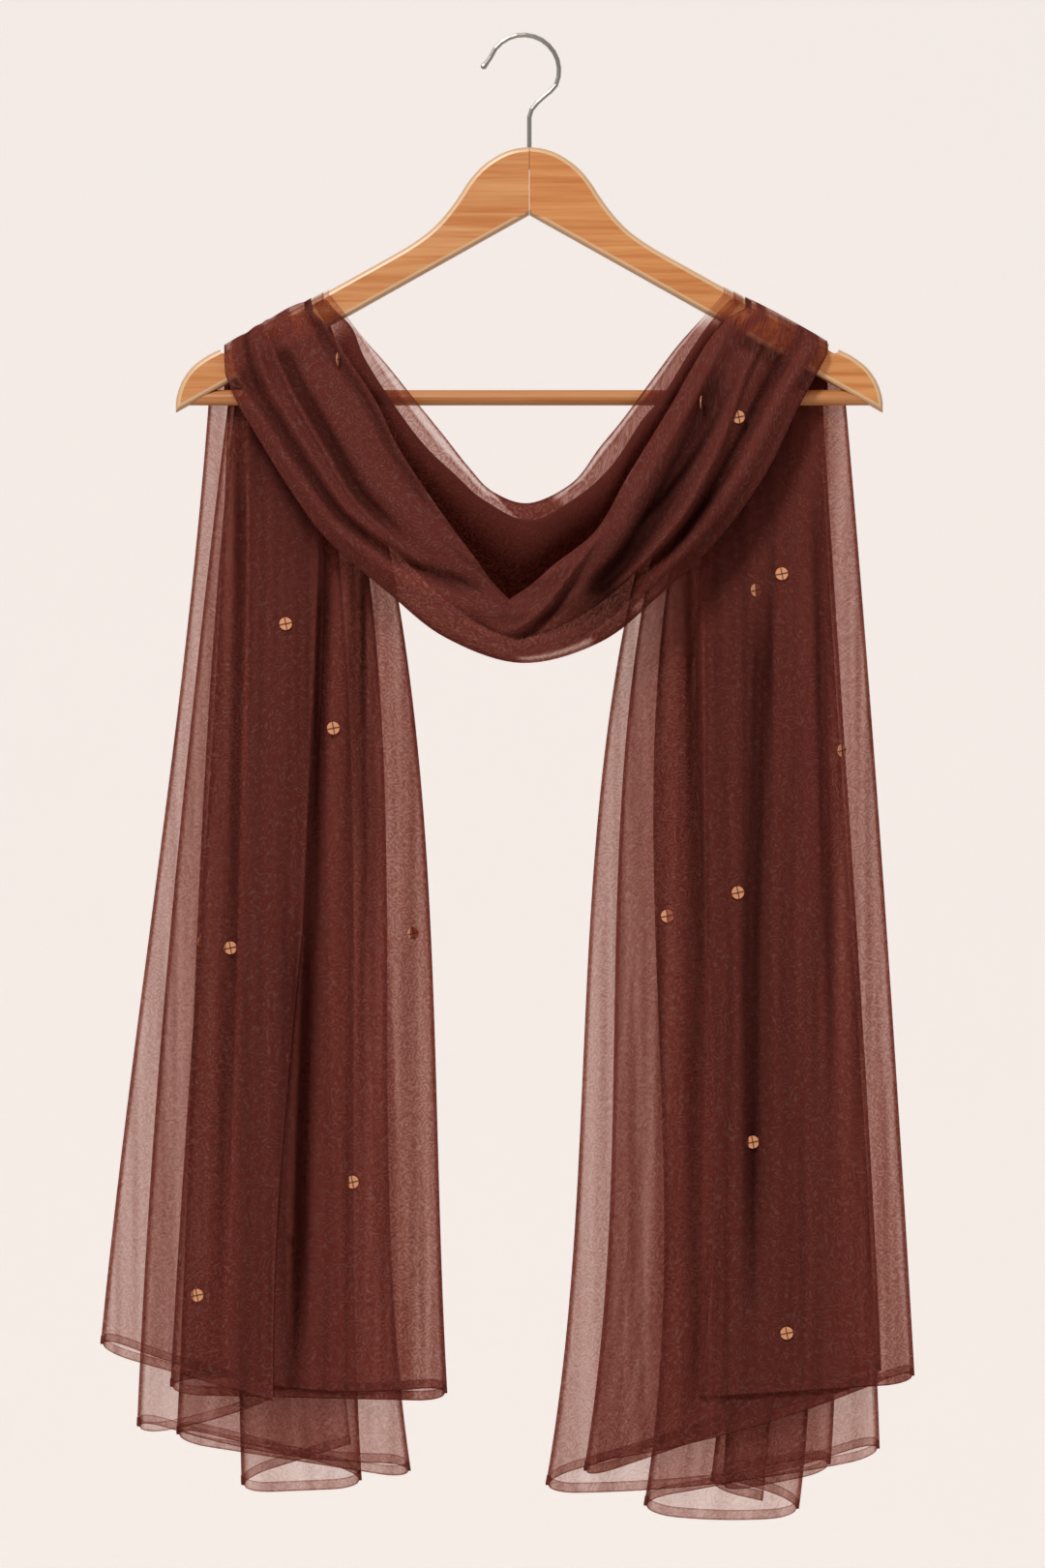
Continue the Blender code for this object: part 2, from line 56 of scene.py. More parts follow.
# Cloth layers
ARM_CLEARANCE = 0.8
LAYER_SPACING = (1.7, 3.2)  # at the arm and at the hem
FALL_HEM_FRONT = 4.0
FALL_TOP = -160.0
ARM_FOOT = -245.0
FALL_FOOT = -930.0
TOP_DROP = 1.8
REAR_SLOPE = 0.95
WAVE_DEPTH = 4.0
WAVE_LENGTH = 150.0
WAVE_DRIFT = 1600.0
HEM_DEPTH = 6.0
HEM_ROWS = (0.8, 0.5, 0.2, 0.0)  # rows of the hem, as shares of its depth
HEM_EDGE_PLIES = 1.2
HEM_SWING = 5.0  # a front layer's hem hangs this much lower than its folds, a rear one's higher
HEM_ROUND = 18.0  # and it reaches that this far from a fold
HEM_LIFT = 0.35  # the turned hem lies this far off the cloth it is turned on
TURN_STEPS = 6  # columns round one fold's turn
EVEN_SHARE = 0.2  # 1 would space a run's columns evenly
RUN_SPACING = 4.2  # mean width between two columns of a straight run
FRONT_SPACING = 1.5  # and in the two front layers, whose fine creases show
FRONT_LAYERS = 2
FALL_ROW_COUNT = 130
FOLD_LINE = 1.1  # half width of the line that a fold's edge makes, seen edge-on
FOLD_PLIES = 1.6  # how many more thicknesses of net lie in that line

# Swag sections from the left shoulder to the right one: the outer edge, the crease where the
# front fold turns in, the top of the inner roll and the back layer's upper edge
SWAG_SECTIONS = (
    # outer x, z, crease x, z, roll x, z, back x, z, hang
    (-189, -196, -134, -166, -127, -162, -124, -160, 0.0),
    (-188, -212, -125, -181, -119, -172, -114, -173, 0.0),
    (-180, -231, -117, -194, -108, -184, -101, -190, 0.08),
    (-170, -248, -109, -206, -100, -203, -86, -207, 0.2),
    (-147, -285, -93, -230, -81, -233, -66, -232, 0.4),
    (-123, -317, -79, -259, -62, -258, -49, -253, 0.6),
    (-86, -349, -56, -294, -42, -277, -34, -272, 0.8),
    (-49, -378, -31, -328, -25, -292, -19, -287, 0.95),
    (-1, -394, -9, -355, 4, -305, 4, -294, 1.0),
    (48, -381, 19, -333, 34, -290, 31, -281, 0.95),
    (85, -352, 46, -311, 56, -270, 48, -259, 0.8),
    (122, -317, 67, -275, 74, -243, 62, -242, 0.6),
    (152, -276, 91, -236, 88, -226, 79, -219, 0.38),
    (172, -236, 114, -196, 106, -197, 97, -195, 0.18),
    (185, -212, 129, -177, 121, -176, 114, -176, 0.0),
    (192, -195, 140, -164, 134, -162, 128, -160, 0.0),
)
SWAG_STEPS = 9
LEFT_ARM_SECTIONS = (-0.6, 0.9)  # numbers of the outer layer's places behind and before an arm
RIGHT_ARM_SECTIONS = (15.6, 14.1)
# Depths of the swag's layers, where it lies on an arm and where it hangs lowest: the front fold's,
# and those of the four inner runs, at the start and the end of each
FRONT_OUTER = (-14.0, -30.0)
FRONT_CREASE = (-14.0, -44.0)
INNER_STARTS = ((-12.3, -39.0), (-10.7, -29.0), (-9.1, -20.5), (-7.5, -15.5))
INNER_ENDS = ((-12.3, -33.0), (-10.7, -24.0), (-9.1, -19.0), (-7.5, -12.0))
ROLL_SWELL = 7.0  # how far the inner roll swells forward where it hangs lowest
ROLL_PLIES = 3.6  # thicknesses of net gathered in each layer of the inner roll
STRIP_LINES = (0.5, 0.68)  # how far across the strip behind the roll is gathered, left and right
BY_CREASE = 0.3  # the inner layers start this close to the crease
# Where two inner folds turn, as a share of the way to the crease: in front, and on an arm
FIRST_TUCK = (0.35, 0.86)
SECOND_TUCK = (0.5, 0.9)
RETURN_GAP = (0.9, 2.2)  # behind the front fold, to the cloth that returns round its edge
UNDER_ON_ARM = (0.3, 0.5)  # and over an arm: how much nearer to the wood, in depth and in height
RETURN_SHARE = 0.6  # how far in that cloth reaches
FRONT_COLUMNS = 70
RETURN_COLUMNS = 16
INNER_COLUMNS = (16, 40, 20, 40)

# Soft ridges and troughs along the front fold: a place is (section, share of the way from the
# outer edge to the crease); half width and height are in millimetres, and a trough is below 0
SWAG_CREASES = (
    # places, half width, height; first the left half's
    (((0.4, 0.06), (2, 0.09), (4, 0.1), (5, 0.11), (6, 0.18), (7, 0.4), (8, 0.74)), 6.0, 5.0),
    (((1.0, 0.17), (4, 0.2), (5, 0.22), (6, 0.32), (7, 0.66), (7.6, 0.88)), 3.4, -6.0),
    (((0.3, 0.36), (2, 0.31), (4, 0.3), (5, 0.3), (6, 0.4), (6.6, 0.54)), 3.0, 5.0),
    (((0.3, 0.48), (2, 0.46), (4, 0.41), (5, 0.39), (6, 0.44), (6.5, 0.5)), 1.8, 5.5),
    (((1.0, 0.55), (3, 0.51), (4, 0.49), (5, 0.48), (6, 0.51)), 3.8, -6.5),
    (((0.2, 0.74), (2, 0.72), (4, 0.69), (5, 0.68), (6, 0.7), (7, 0.84)), 9.0, 4.5),
    (((0.2, 0.94), (5, 0.94), (6.2, 0.96)), 3.0, -4.0),
    (((0.2, 0.26), (1.2, 0.24), (2.6, 0.26)), 2.4, -3.0),
    # the lowest part's and the right half's
    (((6.2, 0.12), (7.5, 0.24), (8.5, 0.26), (9.5, 0.16)), 9.0, 3.0),
    (((9.6, 0.13), (10, 0.14), (11, 0.15), (12, 0.17), (14.6, 0.16)), 6.5, 5.0),
    (((10.0, 0.27), (10.8, 0.26), (12, 0.32), (14.4, 0.34)), 3.6, -6.0),
    (((9.4, 0.4), (10, 0.38), (11, 0.38), (12, 0.46), (13, 0.56), (14.6, 0.64)), 2.6, 6.0),
    (((9.0, 0.5), (10, 0.55), (11, 0.61), (12, 0.67), (13, 0.74)), 6.5, -10.0),
    (((10.2, 0.86), (11, 0.84), (12, 0.86), (14.6, 0.88)), 5.5, 5.0),
    # the edge that crosses at the bottom, and fine lines by it
    (((7.5, 0.22), (8, 0.5), (8.5, 0.64), (9, 0.77), (9.5, 0.88), (10.2, 0.99)), 2.2, 6.0),
    (((7.7, 0.2), (8, 0.38), (8.5, 0.53), (9, 0.67), (9.6, 0.8)), 3.6, -5.0),
    (((7.8, 0.13), (8.6, 0.15), (9.3, 0.18), (10.2, 0.22)), 1.8, -4.0),
    (((6.8, 0.08), (7.6, 0.12), (8.4, 0.14), (9.3, 0.22)), 1.6, 1.8),
    (((7.0, 0.36), (7.6, 0.34), (8.2, 0.24)), 1.8, -1.8),
)
RIDGE_START = 0.6  # a ridge rises over this many sections
RIDGE_END = 0.8  # and dies away over this many
# Places of the front fold that lie in shade: sections, shares across, and how dark
SWAG_SHADES = (
    (8.0, 10.6, 0.12, 0.6, 0.4), (8.4, 12.2, -0.1, 0.5, 0.38), (9.0, 12.0, 0.42, 0.8, 0.25),
    (5.4, 7.0, -0.1, 0.14, 0.25), (2.4, 5.0, 0.46, 0.62, 0.2),
)
SWAG_SHADE = 0.12  # how much darker the whole front fold looks
SWAG_CREASE_SHADE = 0.08  # and each millimetre of its troughs, within limits
CREASE_LIMITS = (-3, 6)
SHADE_EDGES = (1.0, 0.2)  # how softly a shade ends, in sections and in shares across
THIN_EDGES = (0.12, 0.04)
SECTION_LENGTH = 40.0  # mean distance between two sections, for the streaks
# Places where fewer thicknesses of net lie on the front fold: sections, shares across, and plies
THIN_PLACES = (
    (0.0, 1.9, -0.1, 0.12, 1.1), (-0.6, 1.0, 0.72, 0.98, 1.5), (7.9, 9.0, -0.1, 0.1, 1.6),
    (9.5, 10.8, -0.1, 0.12, 1.7), (13.4, 14.9, 0.34, 0.78, 1.5), (13.9, 15.4, 0.84, 1.1, 1.4),
    (13.3, 15.0, -0.1, 0.14, 1.4), (-0.2, 1.0, 0.4, 0.62, 1.8),
)
PLY_OPEN = 0.66  # share of the light that one thickness of net lets through
PLY_TINT = (1.0, 0.84, 0.8, 1.0)
FRONT_PLIES = 4.6
RETURN_PLIES = 0.5  # share of them in the cloth that returns behind the front fold
LOWEST_SECTION = 8  # here the crease comes to a point
CREASE_COLUMNS = (2, 3)
# Share of the inner layers' plies by an arm, under the front fold and beside it, and the hang
# at which all of them lie there again
INNER_ON_ARM = (0.05, 0.2)
INNER_FULL_AT = (0.3, 0.1)
BACK_EDGE_PLIES = 3.2  # more in the line of the swag's back edge
CENTRE_PLIES = 7.0  # where the strips from both sides cross, behind the roll
CENTRE_SPAN = (7.0, 8.75)  # from section to section
CENTRE_LEAN = (0.7, 0.2)  # how many sections its two ends lean over across the strip
CENTRE_EDGES = (0.1, 0.12)
RIGHT_FROM = (7.5, 9.0)  # sections between which the left half's strip turns into the right one's
STRIP_PLIES = (1.9, 3.7)  # in the strip's gathered part, left and right
LINE_PLIES = 1.2  # more in the line where that ends
INNER_SHADE = 0.05  # how much darker the inner layers look
POCKET_SHADE = (0.35, 1.1)  # and how much more in the pocket behind the crease, by how low it hangs
POCKET_REACH = 1.12  # it ends at this share of the way from the crease to the roll's top
POCKET_LAYERS = 2.05  # and lies in front of this fold
POCKET_ROUND = 0.8
POCKET_DARKEST = 0.97
ROLL_ROUND = 0.8  # below 1 the roll is fuller at its sides
THREADS_INSIDE = 0.4  # the pale threads show less in there
# The front fold's round swell: section and height
FRONT_BULGE = ((0.2, 0.0), (1, 2.5), (3, 5.0), (5, 7.0), (7, 11.0), (8, 14.0), (9, 12.0), (11, 8.0),
               (13, 5.0), (14, 2.5), (14.8, 0.0))
SWELL_ROUND = 0.7  # below 1 the swell is fuller at its sides

# Where the outer layer passes over an arm: depth, and height above the arm's upper edge. The
# rear flap's depths are counted from the fall behind the arm
REAR_FLAP = ((0.0, -30.0), (-0.1, -22.0), (-0.6, -13.0))
REAR_SHOULDER = (13.0, -6.6)  # it stands halfway from this depth to the rear flap's
OVER_ARM = ((12.0, -3.0), (6.4, 1.1), (0.0, 1.6), (-5.5, 1.2), (-9.5, -1.6), (-13.0, -6.0))
OVER_ARM_STEPS = 3
ROWS_BEHIND_ARM = 20  # no sequin is sewn in these first and last rows
BEHIND_FALL = 1.3  # from a fall's last layer to the rear flap
ON_ARM = 0.4  # how much of a ridge's height is left where the cloth lies on the arm
RIDGES_FROM = 3.0  # no ridges are left behind this depth
# The same for the inner layers, under the outer one
INNER_OVER_ARM = ((-5.8, 0.2), (-3.0, 0.8), (0.0, 0.9), (3.0, 0.8), (5.8, 0.2), (6.9, -2.0), (7.0, -8.0))
INNER_DROP = 1.6  # in front of an arm they start this far below its upper edge
INNER_SLOPE = 1.05  # and this much lower for each millimetre that they stand forward
INNER_LIFT = 0.08  # how much of that they keep over the arm
INNER_TOP_SHARE = 0.35  # and what share of their plies

# The falls, a row for each fold from the front layer to the back one. Plies is how many
# thicknesses of net lie together beside that fold.
FALL_HEIGHTS = (-343.0, -587.0)
LEFT_FALL = (
    # arm, upper, lower, hem, hem height, droop, plies
    (-141, -126, -142, -158, -856, 0, 1.0),
    (-197, -209, -239, -267, -825, 16, 1.0),
    (-127, -81, -57.5, -48, -856, 0, 2.0),
    (-186, -191, -206, -223, -852, 0, 1.0),
    (-147, -129, -141, -147, -850, 4, 1.0),
    (-183, -200, -225, -244, -877, 8, 0.7),
    (-132, -97, -86, -71, -905, 0, 1.0),
    (-179, -193, -207, -219, -882, 0, 1.0),
    (-137, -115, -107, -102, -911, 0, 1.0),
    (-175, -173, -177, -178, -914, 0, 1.0),
    (-144, -129, -123, -109, -893, 0, 1.0),
)
RIGHT_FALL = (
    (143, 111, 116, 111, -854, 0, 1.0),
    (201, 213, 231, 247, -845, 8, 1.6),
    (133, 78, 58, 38, -905, 0, 1.0),
    (187, 196, 212, 226, -842, 4, 1.0),
    (130, 69.5, 40.5, 14, -914, 6, 1.1),
    (185, 193, 209, 225, -891, 4, 1.0),
    (136, 91, 84, 76, -927, 3, 1.0),
    (180, 158, 167, 174, -929, 0, 1.0),
    (150, 122, 123, 125, -914, 0, 1.0),
    (184, 172, 184, 194, -901, 0, 1.0),
    (152, 118, 118, 118, -912, 0, 1.0),
    (172, 142, 145, 151, -919, 0, 1.0),
)

# Soft folds that run down a whole stack: x at two heights and at the hem, half width, height
# (a trough is below 0), and the heights between which it shows
LEFT_FALL_CREASES = (
    # upper, lower, hem, half width, height, from, to
    (-174, -180, -190, 1.5, 2.2, -230, -860),
    (-130, -141, -153, 1.4, 1.5, -300, -880),
    (-178, -184, -194, 3.2, -4.5, -240, -780),
    (-186, -193, -204, 4.0, 2.5, -250, -700),
    (-150, -160, -174, 14.0, 3.5, -330, -860),
    (-125, -135, -147, 4.5, -7.5, -300, -890),
    (-118, -119, -116, 7.0, 4.0, -320, -800),
    (-103, -97, -90, 6.0, -6.0, -300, -600),
    (-140, -140, -146, 8.0, -4.5, -540, -900),
)
RIGHT_FALL_CREASES = (
    (88, 87, 82, 1.6, -3.0, -320, -700),
    (96, 95, 90, 4.0, 2.5, -330, -760),
    (106, 112, 108, 4.5, -6.5, -330, -900),
    (113, 115, 113, 1.6, 2.4, -330, -860),
    (152, 143.5, 141, 1.4, 1.6, -330, -740),
    (130, 126, 122, 10.0, 3.5, -330, -840),
    (152, 145, 146, 5.0, -6.5, -335, -820),
    (163, 160, 160, 7.0, 3.5, -330, -800),
    (186, 194, 206, 3.5, -4.0, -260, -680),
)
FOLD_START = 60.0  # such a fold rises over this height
FOLD_END = 120.0  # and dies away over this one
# Painted shade and painted highlight on the falls, added to the net's colour
CREASE_SHADE = 0.10  # how much darker each millimetre of a trough's depth looks
RIDGE_LIGHT = 0.16  # and how much lighter each millimetre of a sharp ridge
SHARP_RIDGE = 2.5  # a ridge is sharp up to this half width
LIGHTEST = -0.5  # limits of the painted highlight and painted shade on a place
DARKEST = 0.92
SWAG_SHADOW = 0.34  # how much darker a fall looks right under the swag
SHADOW_REACH = 20.0
# Uneven soft streaks along the cloth
STREAK_SEED = 11
STREAK_COUNT = 14
STREAK_WIDTHS = (6.0, 34.0)
STREAK_LENGTHS = (180.0, 480.0)
STREAK_DRIFT = 400.0
STREAK_DEPTH = 0.5
# painted shade and painted light along the streaks, by their sign
STREAK_SHADE = 0.11
STREAK_PLIES = 0.13
STREAK_SHIFT = 53.0  # between the streaks of one layer and of the next one
THREADS_ON_SHEER = 1.1  # the pale threads show more where the net lies single
SHEER_BELOW = 2.2  # and no more from this many plies up
# Stretches of a fall's layer that lie folded on themselves, so more thicknesses show there
PANEL_EDGE = 1.5
LEFT_FALL_PANELS = (
    # layer, its one edge at the three heights, its other edge at them, more plies
    (0, (-174, -180, -190), (-100, -110, -130), 1.5),
    (1, (-184, -192, -208), (-97, -84, -66), 0.9),
    (2, (-178, -190, -206), (-97, -84, -66), 0.7),
)
RIGHT_FALL_PANELS = (
    (0, (100, 104, 100), (193, 201, 212), 1.4),
    (1, (112, 114, 110), (190, 198, 210), 0.8),
    (2, (100, 95, 86), (190, 198, 210), 1.0),
    (3, (88, 85, 76), (186, 194, 206), 1.1),
    (2, (75, 68, 38), (75, 70, 80), 0.8),
    (0, (196, 203, 212), (197, 210, 226), 1.0),
    (0, (214, 222, 214), (214, 223, 250), 0.7),
)

# Sequins: for each piece, the layer that one is sewn on, its x and z, and its tilt as it hangs
SEQUIN_RADIUS = 4.0
SEQUIN_THICKNESS = 0.35
SEQUIN_SIDES = 28
SEQUIN_RIM = 0.5
SEQUIN_DISH = 0.12
STITCH_SIZE = (8.6, 0.55, 0.4)
STITCH_TURN = 0.2
STITCH_LIFT = 0.22
STITCH_ROUND = 0.12
SEQUINS = {
    # layer, x, z, tilt
    "left": ((0, -150.3, -368.7, 8), (1, -119.8, -437.8, 20), (0, -185.7, -573.4, -6),
        (1, -107.5, -721.9, 5), (0, -206.5, -792.8, -10), (2, -68.4, -567.9, 30),
        (3, -201.6, -572.8, 55), (3, -148.5, -641.3, 60), (4, -153.4, -434.7, 40),
        (4, -139.3, -436.0, 60), (6, -128.0, -820.0, 0), (9, -160.0, -500.0, 10),
        (9, -150.0, -760.0, -8)),
    "right": ((0, 163.1, -341.2, 6), (0, 135.6, -537.4, 12), (2, 92.9, -555.1, 10),
        (0, 144.2, -698.1, -5), (0, 166.8, -816.6, 8), (1, 147.3, -349.8, 30), (2, 207.7, -450.6, 50),
        (3, 199.2, -450.6, 62), (2, 213.2, -739.6, 45), (9, 160.0, -420.0, 10),
        (10, 140.0, -650.0, -12)),
    "swag": ((0, 135.6, -238.6, 4), (0, 112.4, -228.2, 66), (0, -116.1, -203.8, 82)),
}

# Camera and light
SIGHT_DISTANCE = 3500.0  # the photograph's sizes hold at the hanger, seen from this far
VIEW_HEIGHT = 0.9898  # of the photograph's frame, at the hanger
VIEW_MIDDLE = (-0.6, -471.4)
SENSOR = 36.0


def linear(hex_colour):
    """An sRGB hex colour as linear RGBA."""
    parts = [int(hex_colour[i:i + 2], 16) / 255 for i in (1, 3, 5)]
    return (*(p / 12.92 if p <= 0.04045 else ((p + 0.055) / 1.055) ** 2.4 for p in parts), 1.0)


def add_node(tree, kind, links=None, **settings):
    """One node with its settings, and links from other nodes' sockets to its inputs."""
    node = tree.nodes.new("ShaderNode" + kind)
    for name, value in settings.items():
        if name == "inputs":
            for socket, number in value.items():
                node.inputs[socket].default_value = number
        else:
            setattr(node, name, value)
    for socket, source in (links or {}).items():
        tree.links.new(source, node.inputs[socket])
    return node


def mixed(tree, amount, first, second):
    """A colour between two others; each of them is RGBA or another node's socket."""
    links, inputs = {"Factor": amount}, {}
    for socket, colour in (("A", first), ("B", second)):
        (inputs if isinstance(colour, tuple) else links)[socket] = colour
    return add_node(tree, "Mix", links, data_type="RGBA", inputs=inputs).outputs["Result"]


def new_material(name):
    material = bpy.data.materials.new(name)
    material.use_nodes = True
    material.node_tree.nodes.clear()
    return material, material.node_tree


def net_material(name, maroon, pale):
    """Soft nylon net: each ply lets about two thirds of the red light and half of the rest through.

    Plies lie together, so their transmission multiplies. The eye sees wall, wood and deeper
    folds through it, darker and redder with every ply, and fine pale wavy threads on top.
    """
    material, tree = new_material(name)

    def math_node(operation, *values):
        links, numbers = {}, {}
        for number, value in enumerate(values):
            (numbers if isinstance(value, float) else links)[number] = value
        return add_node(tree, "Math", links, operation=operation, inputs=numbers).outputs[0]

    def ranged(source, **limits):
        limits = {name.replace("_", " "): number for name, number in limits.items()}
        return add_node(tree, "MapRange", {"Value": source}, inputs=limits).outputs[0]

    def noise(**inputs):
        return add_node(tree, "TexNoise", {"Vector": in_mm.outputs[0]}, noise_dimensions="2D",
                        inputs=inputs).outputs[0]

    def stored(name):
        return add_node(tree, "Attribute", attribute_name=name).outputs["Fac"]

    cut = add_node(tree, "UVMap", uv_map="cut")
    in_mm = add_node(tree, "VectorMath", {0: cut.outputs["UV"]}, operation="SCALE", inputs={"Scale": 1 / MM})
    lie = noise(Scale=0.16, Detail=0.6, Roughness=0.5)
    contours = math_node("PINGPONG", math_node("MULTIPLY", lie, 4.6), 0.5)
    thread = ranged(contours, From_Min=0.24, From_Max=0.03)
    kept = ranged(noise(Scale=0.24, Detail=0.0), From_Min=0.12, From_Max=0.52, To_Max=0.085)
    squiggle = math_node("MULTIPLY", math_node("MULTIPLY", thread, kept), stored("threads"))
    weave = ranged(contours, From_Max=0.5, To_Min=0.72, To_Max=1.22)
    depth = math_node("MULTIPLY", stored("plies"), weave)
    open_rest = math_node("MULTIPLY", math_node("POWER", PLY_OPEN, depth),
                          math_node("SUBTRACT", 1.0, squiggle))
    cover = math_node("SUBTRACT", 1.0, open_rest)
    thread_share = math_node("DIVIDE", squiggle, cover)
    tint = add_node(tree, "Gamma", {"Gamma": depth}, inputs={"Color": PLY_TINT})
    clear = add_node(tree, "BsdfTransparent", {"Color": tint.outputs[0]})
    # painted shade and painted highlight, stored on the cloth's points, scale its colour
    painted_brightness = math_node("SUBTRACT", 1.0, stored("painted_shading"))
    colour = mixed(tree, thread_share, linear(maroon), linear(pale))
    shaded = add_node(tree, "VectorMath", {0: colour, "Scale": painted_brightness}, operation="SCALE")
    cloth = add_node(tree, "BsdfPrincipled", {"Base Color": shaded.outputs[0]},
                     inputs={"Roughness": 0.8, "Specular IOR Level": 0.0})
    seen = add_node(tree, "MixShader", {0: cover, 1: clear.outputs[0], 2: cloth.outputs[0]})
    add_node(tree, "OutputMaterial", {"Surface": seen.outputs[0]})
    return material


def wood_material(name, light, mid, dark, turn, edge_painted_light):
    """Clear-lacquered beech, sawn and sanded: straight grain along the piece under a soft gloss.

    The rounded edges get a painted highlight just inside the flat faces and painted shade round the very rim.
    """
    material, tree = new_material("lacquered_beech_" + name)
    place = add_node(tree, "TexCoord")

    def grain(stretch, **inputs):
        along = add_node(tree, "Mapping", {"Vector": place.outputs["Object"]},
                         inputs={"Rotation": (0.0, turn, 0.0), "Scale": stretch})
        noise = add_node(tree, "TexNoise", {"Vector": along.outputs[0]}, inputs={"Scale": 1.0, **inputs})
        return noise.outputs[0]

    fine = grain((9.0, 260.0, 260.0), Detail=4.0, Roughness=0.6, Distortion=0.4)
    facing = add_node(tree, "SeparateXYZ", {0: place.outputs["Normal"]})
    flat = add_node(tree, "Math", {0: facing.outputs["Y"]}, operation="ABSOLUTE").outputs[0]
    colour = mixed(tree, grain((2.5, 40.0, 40.0), Detail=2.0), linear(light), linear(mid))
    for source, first, last, most, tone in (
        (fine, 0.35, 0.68, 1.0, dark),
        # painted highlight on the bevel just off each flat face
        (flat, 0.995, 0.96, edge_painted_light, "#F7D9AE"),
        # painted shade on the bevel's outer facets, round the rim
        (flat, 0.8, 0.5, edge_painted_light, "#B4662B"),
    ):
        amount = add_node(tree, "MapRange", {"Value": source},
                          inputs={"From Min": first, "From Max": last, "To Max": most})
        colour = mixed(tree, amount.outputs[0], colour, linear(tone))
    bump = add_node(tree, "Bump", {"Height": fine}, inputs={"Strength": 0.15, "Distance": 0.0003})
    wood = add_node(tree, "BsdfPrincipled", {"Base Color": colour, "Normal": bump.outputs[0]},
                    inputs={"Roughness": 0.42, "Coat Weight": 0.22, "Coat Roughness": 0.22})
    add_node(tree, "OutputMaterial", {"Surface": wood.outputs[0]})
    return material


def steel_material():
    """Nickel-plated steel wire, drawn and polished: grey, with fine lines and a satin shine."""
    material, tree = new_material("nickel_plated_wire")
    place = add_node(tree, "TexCoord")
    scratches = add_node(tree, "TexNoise", {"Vector": place.outputs["Object"]},
                         inputs={"Scale": 900.0, "Detail": 3.0})
    rough = add_node(tree, "MapRange", {"Value": scratches.outputs[0]}, inputs={"To Min": 0.22, "To Max": 0.38})
    metal = add_node(tree, "BsdfPrincipled", {"Roughness": rough.outputs[0]},
                     inputs={"Base Color": linear("#B9B4AE"), "Metallic": 1.0})
    add_node(tree, "OutputMaterial", {"Surface": metal.outputs[0]})
    return material


def plain_material(name, noise, first, second, settings):
    """A surface whose colour wanders a little between two tones."""
    material, tree = new_material(name)
    place = add_node(tree, "TexCoord")
    uneven = add_node(tree, "TexNoise", {"Vector": place.outputs["Object"]}, inputs=noise)
    tone = mixed(tree, uneven.outputs[0], first, second)
    surface = add_node(tree, "BsdfPrincipled", {"Base Color": tone}, inputs=settings)
    add_node(tree, "OutputMaterial", {"Surface": surface.outputs[0]})
    return material


def sequin_material():
    """Copper-coloured foil sequins, stamped: bright metal with a fine brushed face."""
    return plain_material("stamped_copper_foil", {"Scale": 700.0, "Detail": 2.0}, linear("#EE9562"),
                          linear("#F8B88E"), {"Metallic": 0.12, "Roughness": 0.38})


def thread_material():
    """Twisted polyester sewing thread, dark brown, with a dull surface."""
    return plain_material("brown_polyester_thread", {"Scale": 3000.0}, linear("#3C1A14"),
                          linear("#6B3A2C"), {"Roughness": 0.75})


def paint_material(name, colour, glow):
    """Flat pale paint, very slightly uneven; a little glow stands for the studio's wall light."""
    paint = linear(colour)
    return plain_material(name, {"Scale": 6.0}, paint, tuple(0.985 * c for c in paint),
                          {"Roughness": 0.9, "Specular IOR Level": 0.2, "Emission Color": paint,
                           "Emission Strength": glow})


def as_mesh(work, name):
    mesh = bpy.data.meshes.new(name)
    work.to_mesh(mesh)
    work.free()
    return mesh


def add_object(name, data):
    item = bpy.data.objects.new(name, data)
    bpy.context.scene.collection.objects.link(item)
    return item


def add_piece(name, mesh, material):
    piece = add_object(name, mesh)
    mesh.materials.append(material)
    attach(piece, BODY)
    return piece


def arm_edge(x):
    """Height of the arms' upper edge at x, along its straight stretch."""
    return ARM_EDGE_HEIGHT + ARM_EDGE_SLOPE * (np.abs(x - HANGER_MIDDLE) - ARM_EDGE_START)


def unit(value):
    """The value, kept from 0 to 1."""
    return np.clip(value, 0.0, 1.0)


def between(pair, share):
    """The value a share of the way from the first of a pair to the second."""
    return pair[0] + (pair[1] - pair[0]) * share


def smooth_rows(rows, steps):
    """Rows put between the given ones on a smooth curve through them, steps to an interval."""
    rows = np.asarray(rows, dtype=float)
    padded = np.concatenate([[2 * rows[0] - rows[1]], rows, [2 * rows[-1] - rows[-2]]])
    out = []
    for index in range(len(rows) - 1):
        before, start, end, after = padded[index:index + 4]
        for step in range(steps):
            t = step / steps
            out.append(0.5 * (2 * start + (end - before) * t
                              + (2 * before - 5 * start + 4 * end - after) * t ** 2
                              + (3 * start - before - 3 * end + after) * t ** 3))
    out.append(rows[-1])
    return np.array(out)


def run_shares(columns):
    """Shares along a straight run, closer together near its two folds."""
    even = np.linspace(0.0, 1.0, columns + 1)
    return between((0.5 - 0.5 * np.cos(math.pi * even), even), EVEN_SHARE)


def pleat_path(folds, leave, arrive, columns):
    """Section through a stack of pleats, front layer first.

    Returns rows of (across, depth, place, nearness to a fold): place counts the folds.
    """
    points = []
    last = len(folds) - 2
    for layer in range(last + 1):
        start, end = folds[layer], folds[layer + 1]
        way = 1.0 if end > start else -1.0
        if layer > 0:
            start += way * abs(leave[layer] - arrive[layer - 1]) / 2
        turn = 0.0
        if layer < last:
            turn = (leave[layer + 1] - arrive[layer]) / 2
            end -= way * abs(turn)
        length = abs(end - start)
        for share in run_shares(columns[layer]):
            gap = min(share, 1.0 - share) * length
            points.append((start + (end - start) * share,
                           leave[layer] + (arrive[layer] - leave[layer]) * share, layer + share,
                           math.exp(-(gap / FOLD_LINE) ** 2)))
        if layer < last:
            for step in range(1, TURN_STEPS):
                angle = math.pi * (step / TURN_STEPS - 0.5)
                points.append((end + way * abs(turn) * math.cos(angle),
                               arrive[layer] + turn * (1.0 + math.sin(angle)), layer + 1.0, 1.0))
    return np.array(points)


